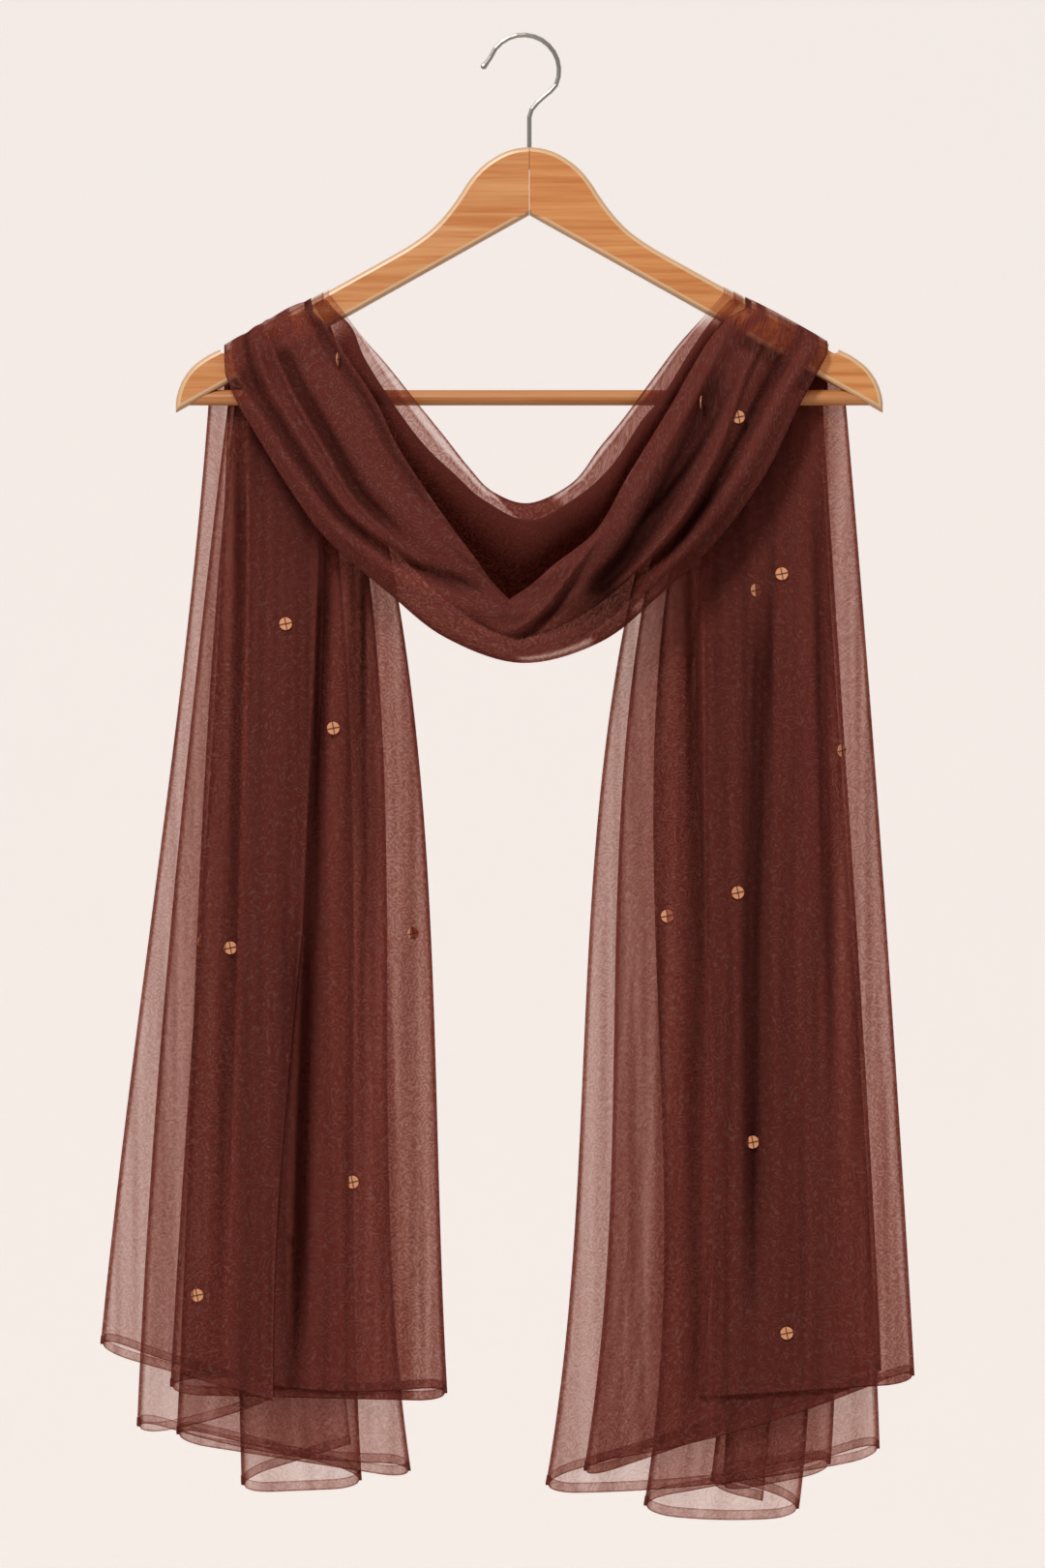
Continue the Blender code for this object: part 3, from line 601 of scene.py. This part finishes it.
def as_seen(points, way=1):
    """Points whose x and z hold at the hanger's depth, carried along the line of sight to their own.

    With way at -1 they are carried back.
    """
    scale = (1.0 + points[..., 1] / SIGHT_DISTANCE) ** way
    x = VIEW_MIDDLE[0] + (points[..., 0] - VIEW_MIDDLE[0]) * scale
    z = VIEW_MIDDLE[1] + (points[..., 2] - VIEW_MIDDLE[1]) * scale
    return np.stack([x, points[..., 1], z], axis=-1)


def cloth_piece(name, grid, plies, painted_shading, threads, from_hem, material, nodes):
    """One sheet of net: a grid of faces with each corner moved to its place."""
    grid = as_seen(grid)
    rows, columns = grid.shape[:2]
    work = bmesh.new()
    bmesh.ops.create_grid(work, x_segments=columns - 1, y_segments=rows - 1, size=0.5)
    across = np.zeros((rows, columns))
    across[:, 1:] = np.cumsum(np.linalg.norm(np.diff(grid, axis=1), axis=2), axis=1)
    across -= across[:, columns // 2:columns // 2 + 1]
    down = np.zeros((rows, columns))
    down[1:] = np.cumsum(np.linalg.norm(np.diff(grid, axis=0), axis=2), axis=0)
    if from_hem:
        down = down[-1:] - down
    uv_layer = work.loops.layers.uv.new("cut")
    places = {}
    for corner in work.verts:
        column = round((corner.co.x + 0.5) * (columns - 1))
        row = round((0.5 - corner.co.y) * (rows - 1))
        places[corner.index] = (row, column)
        corner.co = grid[row, column] * MM
    for face in work.faces:
        for loop in face.loops:
            row, column = places[loop.vert.index]
            loop[uv_layer].uv = (across[row, column] * MM, down[row, column] * MM)
    mesh = as_mesh(work, name)
    order = np.array([places[i] for i in range(len(mesh.vertices))])
    # per point: plies, painted shade and highlight, and how strongly the pale threads show
    for title, values in (("plies", plies), ("painted_shading", painted_shading), ("threads", threads)):
        attribute = mesh.attributes.new(title, "FLOAT", "POINT")
        attribute.data.foreach_set("value", values[order[:, 0], order[:, 1]].astype(np.float32))
    mesh.shade_smooth()
    piece = add_piece(name, mesh, material)
    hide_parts(*nodes)
    return piece


def way_down(z, start=FALL_TOP):
    """0 at the height start and above it, 1 at the foot of a fall."""
    return unit((start - z) / (start - FALL_FOOT))


def wave(x, z):
    """Slow ripples that the whole stack of a fall shares, from below the arm to the hem."""
    turns = x / WAVE_LENGTH + z / WAVE_DRIFT
    return WAVE_DEPTH * way_down(z, ARM_FOOT) * np.sin(2 * math.pi * turns)


def layer_depth(layer, z):
    """Depth of a layer, counted from the front one, at height z."""
    front = between((HANGER_THICKNESS / 2 + ARM_CLEARANCE, FALL_HEM_FRONT), way_down(z, ARM_FOOT))
    return front + between(LAYER_SPACING, way_down(z)) * layer


def streaks(across, along):
    """Soft streaks along the cloth, of uneven width, length and strength, about -2 to 2."""
    random = np.random.default_rng(STREAK_SEED)
    total = 0.0
    for share in np.linspace(0.0, 1.0, STREAK_COUNT):
        width = STREAK_WIDTHS[0] * (STREAK_WIDTHS[1] / STREAK_WIDTHS[0]) ** share
        phase, drift, fade = random.uniform(0.0, 1.0, 3)
        reach = between(STREAK_LENGTHS, drift)
        strength = 0.5 + 0.5 * np.sin(2 * math.pi * (along / reach + fade))
        turns = across / width + phase + (drift - 0.5) * along / STREAK_DRIFT
        total = total + strength * np.sin(2 * math.pi * turns)
    return total * 2 / math.sqrt(STREAK_COUNT)


def at_height(measures, z):
    """A measure that is given at the falls' two heights and at the hem, at height z."""
    return np.interp(-z, (-FALL_HEIGHTS[0], -FALL_HEIGHTS[1], -FALL_FOOT), measures)


def inside(value, first, last, edge):
    """1 between first and last and 0 outside, with a slope of width edge at both ends."""
    return unit((value - first) / edge) * unit((last - value) / edge)


def under_swag(x, z):
    """Shade on a fall just below the swag that hangs in front of it."""
    outer = np.array(SWAG_SECTIONS)[:, :2]
    below = np.interp(x, outer[:, 0], outer[:, 1]) - z
    return SWAG_SHADOW * np.exp(-np.clip(below, 0.0, None) / SHADOW_REACH)


def fall_creases(creases, x, z):
    """How far a stack's folds push it forward at each place, and the painted shade of its troughs and painted
    highlight of its sharp ridges there.
    """
    height, shade = np.zeros(len(x)), np.zeros(len(x))
    for upper, lower, hem, half_width, rise, start, end in creases:
        middle = at_height((upper, lower, hem), z)
        shown = unit((start - z) / FOLD_START) * unit((z - end) / FOLD_END)
        push = rise * shown * np.exp(-((x - middle) / half_width) ** 2)
        height += push
        if rise < 0:
            shade -= CREASE_SHADE * push
        elif half_width < SHARP_RIDGE:
            shade -= RIDGE_LIGHT * push
    return height, shade


def panel_plies(panels, layer, x, z):
    """How many more plies lie at each place of a fall, from the stretches folded on themselves."""
    more = np.zeros(len(x))
    for number, left, right, plies in panels:
        more += plies * inside(x, at_height(left, z), at_height(right, z), PANEL_EDGE) * (layer == number)
    return more


def run_columns(folds):
    """How many columns the straight run of each layer of a fall gets."""
    widths = [abs(folds[i + 1][3] - folds[i][3]) for i in range(len(folds) - 1)]
    spacings = [FRONT_SPACING] * FRONT_LAYERS + [RUN_SPACING] * (len(widths) - FRONT_LAYERS)
    return [max(6, round(width / spacing)) for width, spacing in zip(widths, spacings)]


def fall_sheet(folds, creases, panels):
    """Points of one fall, a row for each height, with plies, painted shade and highlight, and the strength of
    threads.
    """
    count = len(folds)
    layers = np.arange(count - 1)
    table = np.array(folds)
    hems, droops, together = table[:, 4:].T
    tops = arm_edge(table[:, 0]) - TOP_DROP - REAR_SLOPE * LAYER_SPACING[0] * np.append(layers, layers[-1])
    curves = [np.polyfit((top, *FALL_HEIGHTS, foot), xs, 3)
              for top, foot, xs in zip(tops, hems, table[:, :4])]
    hem_widths = np.abs(np.diff(table[:, 3]))
    columns = run_columns(folds)
    length = tops.mean() - hems.mean()
    shares = list(np.linspace(0.0, 1.0 - HEM_DEPTH / length, FALL_ROW_COUNT))
    shares += [1.0 - HEM_DEPTH / length * part for part in HEM_ROWS]
    grid, plies, painted_shading, threads = [], [], [], []
    for share in shares:
        heights = tops + (hems - tops) * share
        xs = [np.polyval(curve, height) for curve, height in zip(curves, heights)]
        spacing = between(LAYER_SPACING, way_down(heights.mean()))
        path = pleat_path(xs, layers * spacing, layers * spacing, columns)
        x, depth, place, near = path.T
        z = np.interp(place, range(count), heights)
        layer = np.minimum(place.astype(int), count - 2)
        part = place - layer
        z = z - droops[layer] * 4.0 * part * (1.0 - part) * share ** 3
        to_fold = np.minimum(np.where(layer == 0, 1.0, part), np.where(layer == count - 2, 1.0, 1.0 - part))
        round_off = 1.0 - unit(to_fold * hem_widths[layer] / HEM_ROUND)
        swing = HEM_SWING * np.where(layer % 2 == 0, -1.0, 1.0)
        z = z + swing * np.sqrt(1.0 - round_off ** 2) * share ** 4
        push, shade = fall_creases(creases, x, z)
        streak = streaks(x + STREAK_SHIFT * layer, z)
        push += STREAK_DEPTH * streak * unit((ARM_FOOT - z) / FOLD_START)
        y = layer_depth(depth / spacing, z) + wave(x, z) - push
        grid.append(np.stack([x, y, z], axis=1))
        lying = together[np.rint(place).astype(int)] + panel_plies(panels, layer, x, z)
        plies.append(lying * (1.0 + STREAK_PLIES * streak) + FOLD_PLIES * near)
        # painted shade in troughs, along streaks and under the swag; painted highlight on sharp ridges
        painted_shading.append(shade + STREAK_SHADE * streak + under_swag(x, z))
        threads.append(between((1.0, THREADS_ON_SHEER), unit(SHEER_BELOW - lying)))
    return [np.array(rows) for rows in (grid, plies, painted_shading, threads)]


def turned_hem(grid, plies, painted_shading, threads):
    """The hem's turned-up layer added below the last row: back up the cloth, just off it."""
    normal = np.cross(np.gradient(grid, axis=1), np.gradient(grid, axis=0))
    normal /= np.maximum(np.linalg.norm(normal, axis=2, keepdims=True), 1e-9)
    back_up = slice(-2, -2 - len(HEM_ROWS), -1)
    turned = grid[back_up] + normal[back_up] * HEM_LIFT
    plies, painted_shading, threads = (np.concatenate([rows, rows[back_up]]) for rows in (plies, painted_shading, threads))
    plies[len(grid) - 1] += HEM_EDGE_PLIES
    plies[-1] += HEM_EDGE_PLIES
    return np.concatenate([grid, turned]), plies, painted_shading, threads


def fall(side, folds, creases, panels, material):
    grid, plies, painted_shading, threads = turned_hem(*fall_sheet(folds, creases, panels))
    piece = cloth_piece(f"{side}_fall_cloth", grid, plies, painted_shading.clip(LIGHTEST, DARKEST), threads, True,
                        material, (f"{side}_fall_front", f"{side}_fall_back"))
    return piece, grid


def rear_depth(folds):
    """Depth of the outer layer's rear flap, just behind a fall's last layer."""
    return float(layer_depth(len(folds) - 2, ARM_FOOT)) + BEHIND_FALL


def swag_sections():
    """The sections and others between them: on smooth curves, but the crease has a pointed foot."""
    table = np.asarray(SWAG_SECTIONS, dtype=float)
    smooth = smooth_rows(table, SWAG_STEPS)
    numbers = np.arange(len(smooth)) / SWAG_STEPS
    sharp = unit(1.0 - np.abs(numbers - LOWEST_SECTION))
    for column in CREASE_COLUMNS:
        straight = np.interp(numbers, np.arange(len(table)), table[:, column])
        smooth[:, column] += (straight - smooth[:, column]) * sharp
    return smooth, numbers


def crease_field(section, shares, width):
    """Height of the front fold's ridges and troughs over one section."""
    height = np.zeros(len(shares))
    for places, half_width, rise in SWAG_CREASES:
        stations, across = zip(*places)
        first, last = stations[0], stations[-1]
        if not first < section < last:
            continue
        fade = min(1.0, (section - first) / RIDGE_START, (last - section) / RIDGE_END)
        fade = fade * fade * (3 - 2 * fade)
        gap = (shares - np.interp(section, stations, across)) * width / half_width
        height += rise * fade * np.exp(-gap ** 2)
    return height


def over_arm_stations(rear):
    """Places of the outer layer from its rear flap at depth rear, over an arm, to the front."""
    flap = tuple((rear + back, rise) for back, rise in REAR_FLAP)
    shoulder = ((rear + REAR_SHOULDER[0]) / 2, REAR_SHOULDER[1])
    return smooth_rows(flap + (shoulder,) + OVER_ARM, OVER_ARM_STEPS)


def within(places, sections, shares, along_edge, across_edge):
    """How far each place of the front fold lies inside each listed stretch, and the stretch's value."""
    number = np.array(sections)[:, None]
    share = np.array(shares)[None]
    for first, last, inner, outer, value in places:
        yield inside(number, first, last, along_edge) * inside(share, inner, outer, across_edge), value


def swag_front(material, rear_left, rear_right):
    """The outer fold: it rises behind each arm, passes over it and hangs as a U in front.

    Round its outer edge the cloth returns behind it, so its section runs from there to the crease.
    """
    front_shares = run_shares(FRONT_COLUMNS)
    back_shares = RETURN_SHARE * run_shares(RETURN_COLUMNS)[::-1][:-1]
    shares = np.concatenate([back_shares, np.zeros(TURN_STEPS - 1), front_shares])
    steps = np.clip(np.arange(len(shares)) + 1 - len(back_shares), 0, TURN_STEPS)
    angles = math.pi * (steps / TURN_STEPS - 0.5)
    behind = 0.5 - 0.5 * np.sin(angles)
    out = 0.5 * np.cos(angles)
    is_front = behind == 0.0
    bulge = np.array(FRONT_BULGE)

    def swell(number):
        return np.interp(number, bulge[:, 0], bulge[:, 1]) * np.sin(math.pi * shares) ** SWELL_ROUND

    def arm_rows(edge, rear, first, last):
        stations = over_arm_stations(rear)
        x = between((edge[0], edge[2]), shares)
        places = np.linspace(first, last, len(stations))
        away = np.gradient(stations, axis=0)
        away = np.stack([-away[:, 1], away[:, 0]], axis=1)
        away /= -np.linalg.norm(away, axis=1, keepdims=True)
        width = abs(edge[2] - edge[0])
        made = []
        for (depth, rise), number, (back, up) in zip(stations, places, away):
            ridges = swell(number) + ON_ARM * crease_field(number, shares, width) * (depth < RIDGES_FROM)
            ridges = np.maximum(ridges, 0.0) * is_front
            y = depth - UNDER_ON_ARM[0] * np.sign(depth) * behind + back * ridges
            made.append(np.stack([x, y, arm_edge(x) + rise - UNDER_ON_ARM[1] * behind + up * ridges], axis=1))
        return made, list(places)

    rows, numbers = arm_rows(SWAG_SECTIONS[0], rear_left, *LEFT_ARM_SECTIONS)
    sections, stations = swag_sections()
    for section, number in zip(sections[SWAG_STEPS:-SWAG_STEPS], stations[SWAG_STEPS:-SWAG_STEPS]):
        outer, crease, hang = section[0:2], section[2:4], section[8]
        width = np.linalg.norm(crease - outer)
        way = (crease - outer) / width
        gap = between(RETURN_GAP, hang)
        base = between(FRONT_OUTER, hang) * (1 - shares) + between(FRONT_CREASE, hang) * shares
        proud = np.maximum(swell(number) + crease_field(number, shares, width), 0.0) * is_front
        flat = outer + (crease - outer) * shares[:, None] - way * (out * gap)[:, None]
        rows.append(np.stack([flat[:, 0], base - proud + gap * behind, flat[:, 1]], axis=1))
        numbers.append(number)
    made, places = arm_rows(SWAG_SECTIONS[-1], rear_right, *RIGHT_ARM_SECTIONS)
    rows += made[::-1]
    numbers += places[::-1]
    grid = np.array(rows)
    front_start = len(shares) - len(front_shares)
    width = np.linalg.norm(grid[:, -1] - grid[:, front_start], axis=1)[:, None]
    gap = np.minimum(shares, 1 - shares)[None] * width
    plies = np.full((len(numbers), len(shares)), FRONT_PLIES)
    for lies_in, few in within(THIN_PLACES, numbers, shares, *THIN_EDGES):
        plies = plies + (few - plies) * lies_in
    plies = np.where(is_front[None], plies, plies * RETURN_PLIES)
    plies = plies + FOLD_PLIES * np.exp(-(gap / FOLD_LINE) ** 2)
    # painted shade over the whole front fold, in its troughs and shaded places, with painted light and shade
    # along the streaks
    painted_shading = []
    for number, (wide,) in zip(numbers, width):
        trough = np.clip(-crease_field(number, shares, wide), *CREASE_LIMITS)
        streak = streaks(shares * wide, number * SECTION_LENGTH)
        painted_shading.append(SWAG_SHADE + trough * SWAG_CREASE_SHADE + STREAK_SHADE * streak)
    painted_shading = np.array(painted_shading)
    for lies_in, dark in within(SWAG_SHADES, numbers, shares, *SHADE_EDGES):
        painted_shading = painted_shading + dark * lies_in
    threads = np.full(plies.shape, THREADS_ON_SHEER)
    piece = cloth_piece("swag_front_cloth", grid, plies, painted_shading.clip(0.0, DARKEST), threads, False, material,
                        ("swag_front",))
    return piece, grid, slice(front_start, -1)


def strip_plies(number, hang, strip, width):
    """Plies of the sheer strip behind the roll: doubled up to a line, and crossed in the middle."""
    at_right = unit((number - RIGHT_FROM[0]) / (RIGHT_FROM[1] - RIGHT_FROM[0]))
    line = between(STRIP_LINES, at_right)
    gathered = between(STRIP_PLIES, at_right) + hang * (1.0 - at_right)
    sheer = np.where(strip < line, gathered, 1.0)
    sheer = sheer + LINE_PLIES * np.exp(-((strip - line) * width / FOLD_LINE) ** 2)
    past_start = number - CENTRE_SPAN[0] - CENTRE_LEAN[0] * (1.0 - strip)
    to_end = CENTRE_SPAN[1] - number - CENTRE_LEAN[1] * strip
    crossed = unit(past_start / CENTRE_EDGES[0]) * unit(to_end / CENTRE_EDGES[1])
    return sheer + (CENTRE_PLIES - sheer) * crossed


def swag_inner(material):
    """The layers behind the front fold: in from its crease, up to the roll, and the back edge."""
    rows, plies, painted_shading = [], [], []
    sections, stations = swag_sections()
    for section, number in zip(sections[1:-1], stations[1:-1]):
        lines = section[:8].reshape(4, 2)
        hang = section[8]
        along = np.concatenate([[0.0], np.cumsum(np.linalg.norm(np.diff(lines, axis=0), axis=1))])
        on_arm = 1.0 - min(hang / INNER_FULL_AT[0], 1.0)
        folds = (along[1] - BY_CREASE, along[1] * between(FIRST_TUCK, on_arm), along[2],
                 along[1] * between(SECOND_TUCK, on_arm), along[3])
        leave, arrive = ([between(depths, hang) for depths in ends] for ends in (INNER_STARTS, INNER_ENDS))
        path = pleat_path(folds, leave, arrive, INNER_COLUMNS)
        across, depth, place, near = path.T
        past_crease = (across - along[1]) / max(along[2] - along[1], 1e-6)
        rounded = np.sin(math.pi * unit(past_crease)) ** ROLL_ROUND
        depth = depth - ROLL_SWELL * hang * rounded * ((place > 1.0) & (place < 2.0))
        x = np.interp(across, along, lines[:, 0])
        z = np.interp(across, along, lines[:, 1])
        highest = arm_edge(x) - INNER_DROP - INNER_SLOPE * (-depth - HANGER_THICKNESS / 2)
        rows.append(np.stack([x, depth, np.minimum(z, highest)], axis=1))
        strip = (across - along[2]) / max(along[3] - along[2], 1e-6)
        sheer = strip_plies(number, hang, strip, along[3] - along[2])
        sheer = sheer + BACK_EDGE_PLIES * near * (place > 3.5)
        under, beside = (between((least, 1.0), min(hang / full, 1.0))
                         for least, full in zip(INNER_ON_ARM, INNER_FULL_AT))
        tucked = np.where(across < along[1], under, beside)
        plies.append((np.where(place > 3.0, sheer, ROLL_PLIES) + FOLD_PLIES * near) * tucked)
        # painted shade on the inner layers, darkest in the pocket behind the crease
        pocket = unit(POCKET_REACH - past_crease) * (place < POCKET_LAYERS)
        dark = INNER_SHADE + between(POCKET_SHADE, hang) * pocket ** POCKET_ROUND
        painted_shading.append(np.minimum(dark, POCKET_DARKEST))

    def over_arm(row):
        x = row[:, 0]
        lift = INNER_LIFT * np.clip(-row[:, 1] - HANGER_THICKNESS / 2, 0.0, None)
        return [np.stack([x, np.full(len(x), depth), arm_edge(x) + rise + lift], axis=1)
                for depth, rise in INNER_OVER_ARM]

    count = len(INNER_OVER_ARM)
    grid = np.array(over_arm(rows[0])[::-1] + rows + over_arm(rows[-1]))
    plies = np.array([plies[0] * INNER_TOP_SHARE] * count + plies + [plies[-1] * INNER_TOP_SHARE] * count)
    painted_shading = np.array([painted_shading[0]] * count + painted_shading + [painted_shading[-1]] * count)
    threads = np.full(plies.shape, THREADS_INSIDE)
    return cloth_piece("swag_inner_cloth", grid, plies, painted_shading, threads, False, material, ("swag_inner",))


def place_on(grid, layer_columns, x, z):
    """Where a line of sight at x, z meets one layer, and the cloth's forward normal there.

    The third value is the way that a sequin faces: between that normal and the viewer.
    """
    part = as_seen(grid)[:, layer_columns]
    seen = as_seen(part, -1)
    gap = (seen[..., 0] - x) ** 2 + (seen[..., 2] - z) ** 2
    row, column = np.unravel_index(np.argmin(gap), gap.shape)
    row = min(max(row, 1), part.shape[0] - 2)
    column = min(max(column, 1), part.shape[1] - 2)
    side = Vector(part[row, column + 1] - part[row, column - 1])
    up = Vector(part[row - 1, column] - part[row + 1, column])
    normal = side.cross(up).normalized()
    if normal.y > 0:
        normal.negate()
    facing = (normal + Vector((0.0, -2.0, 0.0))).normalized()
    return Vector(part[row, column]), normal, facing


def sequins(grids, foil, thread):
    """Round flat sequins, each with a stamped rim and a cross of thread over it."""
    discs, stitches = bmesh.new(), bmesh.new()
    for title, (layer, x, z, tilt) in [(title, one) for title, sewn in SEQUINS.items() for one in sewn]:
        grid, columns = grids[title][layer]
        spot, normal, facing = place_on(grid, columns, x, z)
        turn = facing.to_track_quat("Z", "Y").to_matrix().to_4x4()
        lean = Matrix.Rotation(math.radians(tilt), 4, "Y")
        slant = min(1.0, abs((turn @ lean).col[2].xyz.dot(normal)))
        lift = SEQUIN_THICKNESS + math.sqrt(1.0 - slant ** 2) * SEQUIN_RADIUS
        home = Matrix.Translation((spot + facing * lift) * MM) @ turn @ lean
        scale = Matrix.Scale(MM, 4)
        made = bmesh.ops.create_circle(discs, cap_ends=True, segments=SEQUIN_SIDES, radius=SEQUIN_RADIUS,
                                       matrix=home @ scale)
        face = made["verts"][0].link_faces[0]
        bmesh.ops.inset_region(discs, faces=[face], thickness=SEQUIN_RIM * MM, depth=-SEQUIN_DISH * MM)
        for angle in (0.0, math.pi / 2):
            bar = Matrix.Rotation(angle + STITCH_TURN, 4, "Z") @ Matrix.Translation((0.0, 0.0, STITCH_LIFT))
            shape = bar @ Matrix.Diagonal((*STITCH_SIZE, 1.0))
            bmesh.ops.create_cube(stitches, size=1.0, matrix=home @ scale @ shape)
    bmesh.ops.solidify(discs, geom=discs.faces[:], thickness=SEQUIN_THICKNESS * MM)
    bmesh.ops.recalc_face_normals(discs, faces=discs.faces)
    bmesh.ops.bevel(stitches, geom=stitches.edges[:], offset=STITCH_ROUND * MM, segments=2, affect="EDGES",
                    profile=0.5, material=-1)
    for name, work, material in (("sequins", discs, foil), ("sequin_stitches", stitches, thread)):
        add_piece(name, as_mesh(work, name), material)


def layer_columns(folds, grid):
    """For each layer of a fall, its grid and the columns of its straight run."""
    found, first = {}, 0
    for layer, columns in enumerate(run_columns(folds)):
        found[layer] = (grid, slice(first, first + columns + 1))
        first += columns + TURN_STEPS
    return found


def dress_hanger():
    slope = math.atan(ARM_EDGE_SLOPE)
    for node, material in (
        ("hanger_left_half", wood_material("left", "#EAAE78", "#DF9556", "#CD7C3C", slope, 0.7)),
        ("hanger_right_half", wood_material("right", "#ECA768", "#E09150", "#CC7A38", -slope, 0.7)),
        ("trouser_bar", wood_material("bar", "#DFA06A", "#CF8549", "#C0763A", 0.0, 0.0)),
        ("hook", steel_material()),
    ):
        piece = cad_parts[node]
        piece.data.materials.clear()
        piece.data.materials.append(material)


def stage():
    wall = paint_material("pale_wall_paint", "#F8F2EF", 0.47)
    floor = paint_material("pale_floor_paint", "#E9E1DB", 0.0)
    for name, size, place, turn, paint in (("back_wall", 14.0, (0.0, 5.2, 0.0), math.pi / 2, wall),
                                           ("floor", 24.0, (0.0, 0.0, -1.9), 0.0, floor)):
        work = bmesh.new()
        bmesh.ops.create_grid(work, x_segments=1, y_segments=1, size=size / 2)
        mesh = as_mesh(work, name)
        mesh.transform(Matrix.Translation(place) @ Matrix.Rotation(turn, 4, "X"))
        mesh.materials.append(paint)
        add_object(name, mesh)


def lights_and_camera():
    scene = bpy.context.scene
    scene.view_settings.view_transform = "Standard"
    world = bpy.data.worlds.new("studio")
    world.use_nodes = True
    back = world.node_tree.nodes["Background"]
    back.inputs["Color"].default_value = (1.0, 0.98, 0.96, 1.0)
    back.inputs["Strength"].default_value = 0.36
    scene.world = world
    key = add_object("key", bpy.data.lights.new("key", "AREA"))
    key.data.shape = "DISK"
    key.data.size = 0.9
    key.data.energy = 72.0
    key.data.color = (1.0, 0.98, 0.95)
    key.location = (-0.9, -2.6, 1.9)
    key.rotation_euler = (Vector((0.0, 0.0, -0.45)) - key.location).to_track_quat("-Z", "Y").to_euler()
    camera = add_object("camera", bpy.data.cameras.new("camera"))
    distance = SIGHT_DISTANCE * MM
    camera.location = (VIEW_MIDDLE[0] * MM, -distance, VIEW_MIDDLE[1] * MM)
    camera.rotation_euler = (math.pi / 2, 0.0, 0.0)
    camera.data.sensor_width = SENSOR
    camera.data.lens = SENSOR * distance / VIEW_HEIGHT
    camera.data.clip_end = 50.0
    scene.camera = camera


def main():
    lights_and_camera()
    stage()
    dress_hanger()
    net = net_material("chocolate_maroon_nylon_net", "#6C332C", "#C7A79E")
    left, left_grid = fall("left", LEFT_FALL, LEFT_FALL_CREASES, LEFT_FALL_PANELS, net)
    right, right_grid = fall("right", RIGHT_FALL, RIGHT_FALL_CREASES, RIGHT_FALL_PANELS, net)
    front, front_grid, front_columns = swag_front(net, rear_depth(LEFT_FALL), rear_depth(RIGHT_FALL))
    inner = swag_inner(net)
    grids = {"left": layer_columns(LEFT_FALL, left_grid), "right": layer_columns(RIGHT_FALL, right_grid),
             "swag": {0: (front_grid[ROWS_BEHIND_ARM:-ROWS_BEHIND_ARM], front_columns)}}
    sequins(grids, sequin_material(), thread_material())


main()
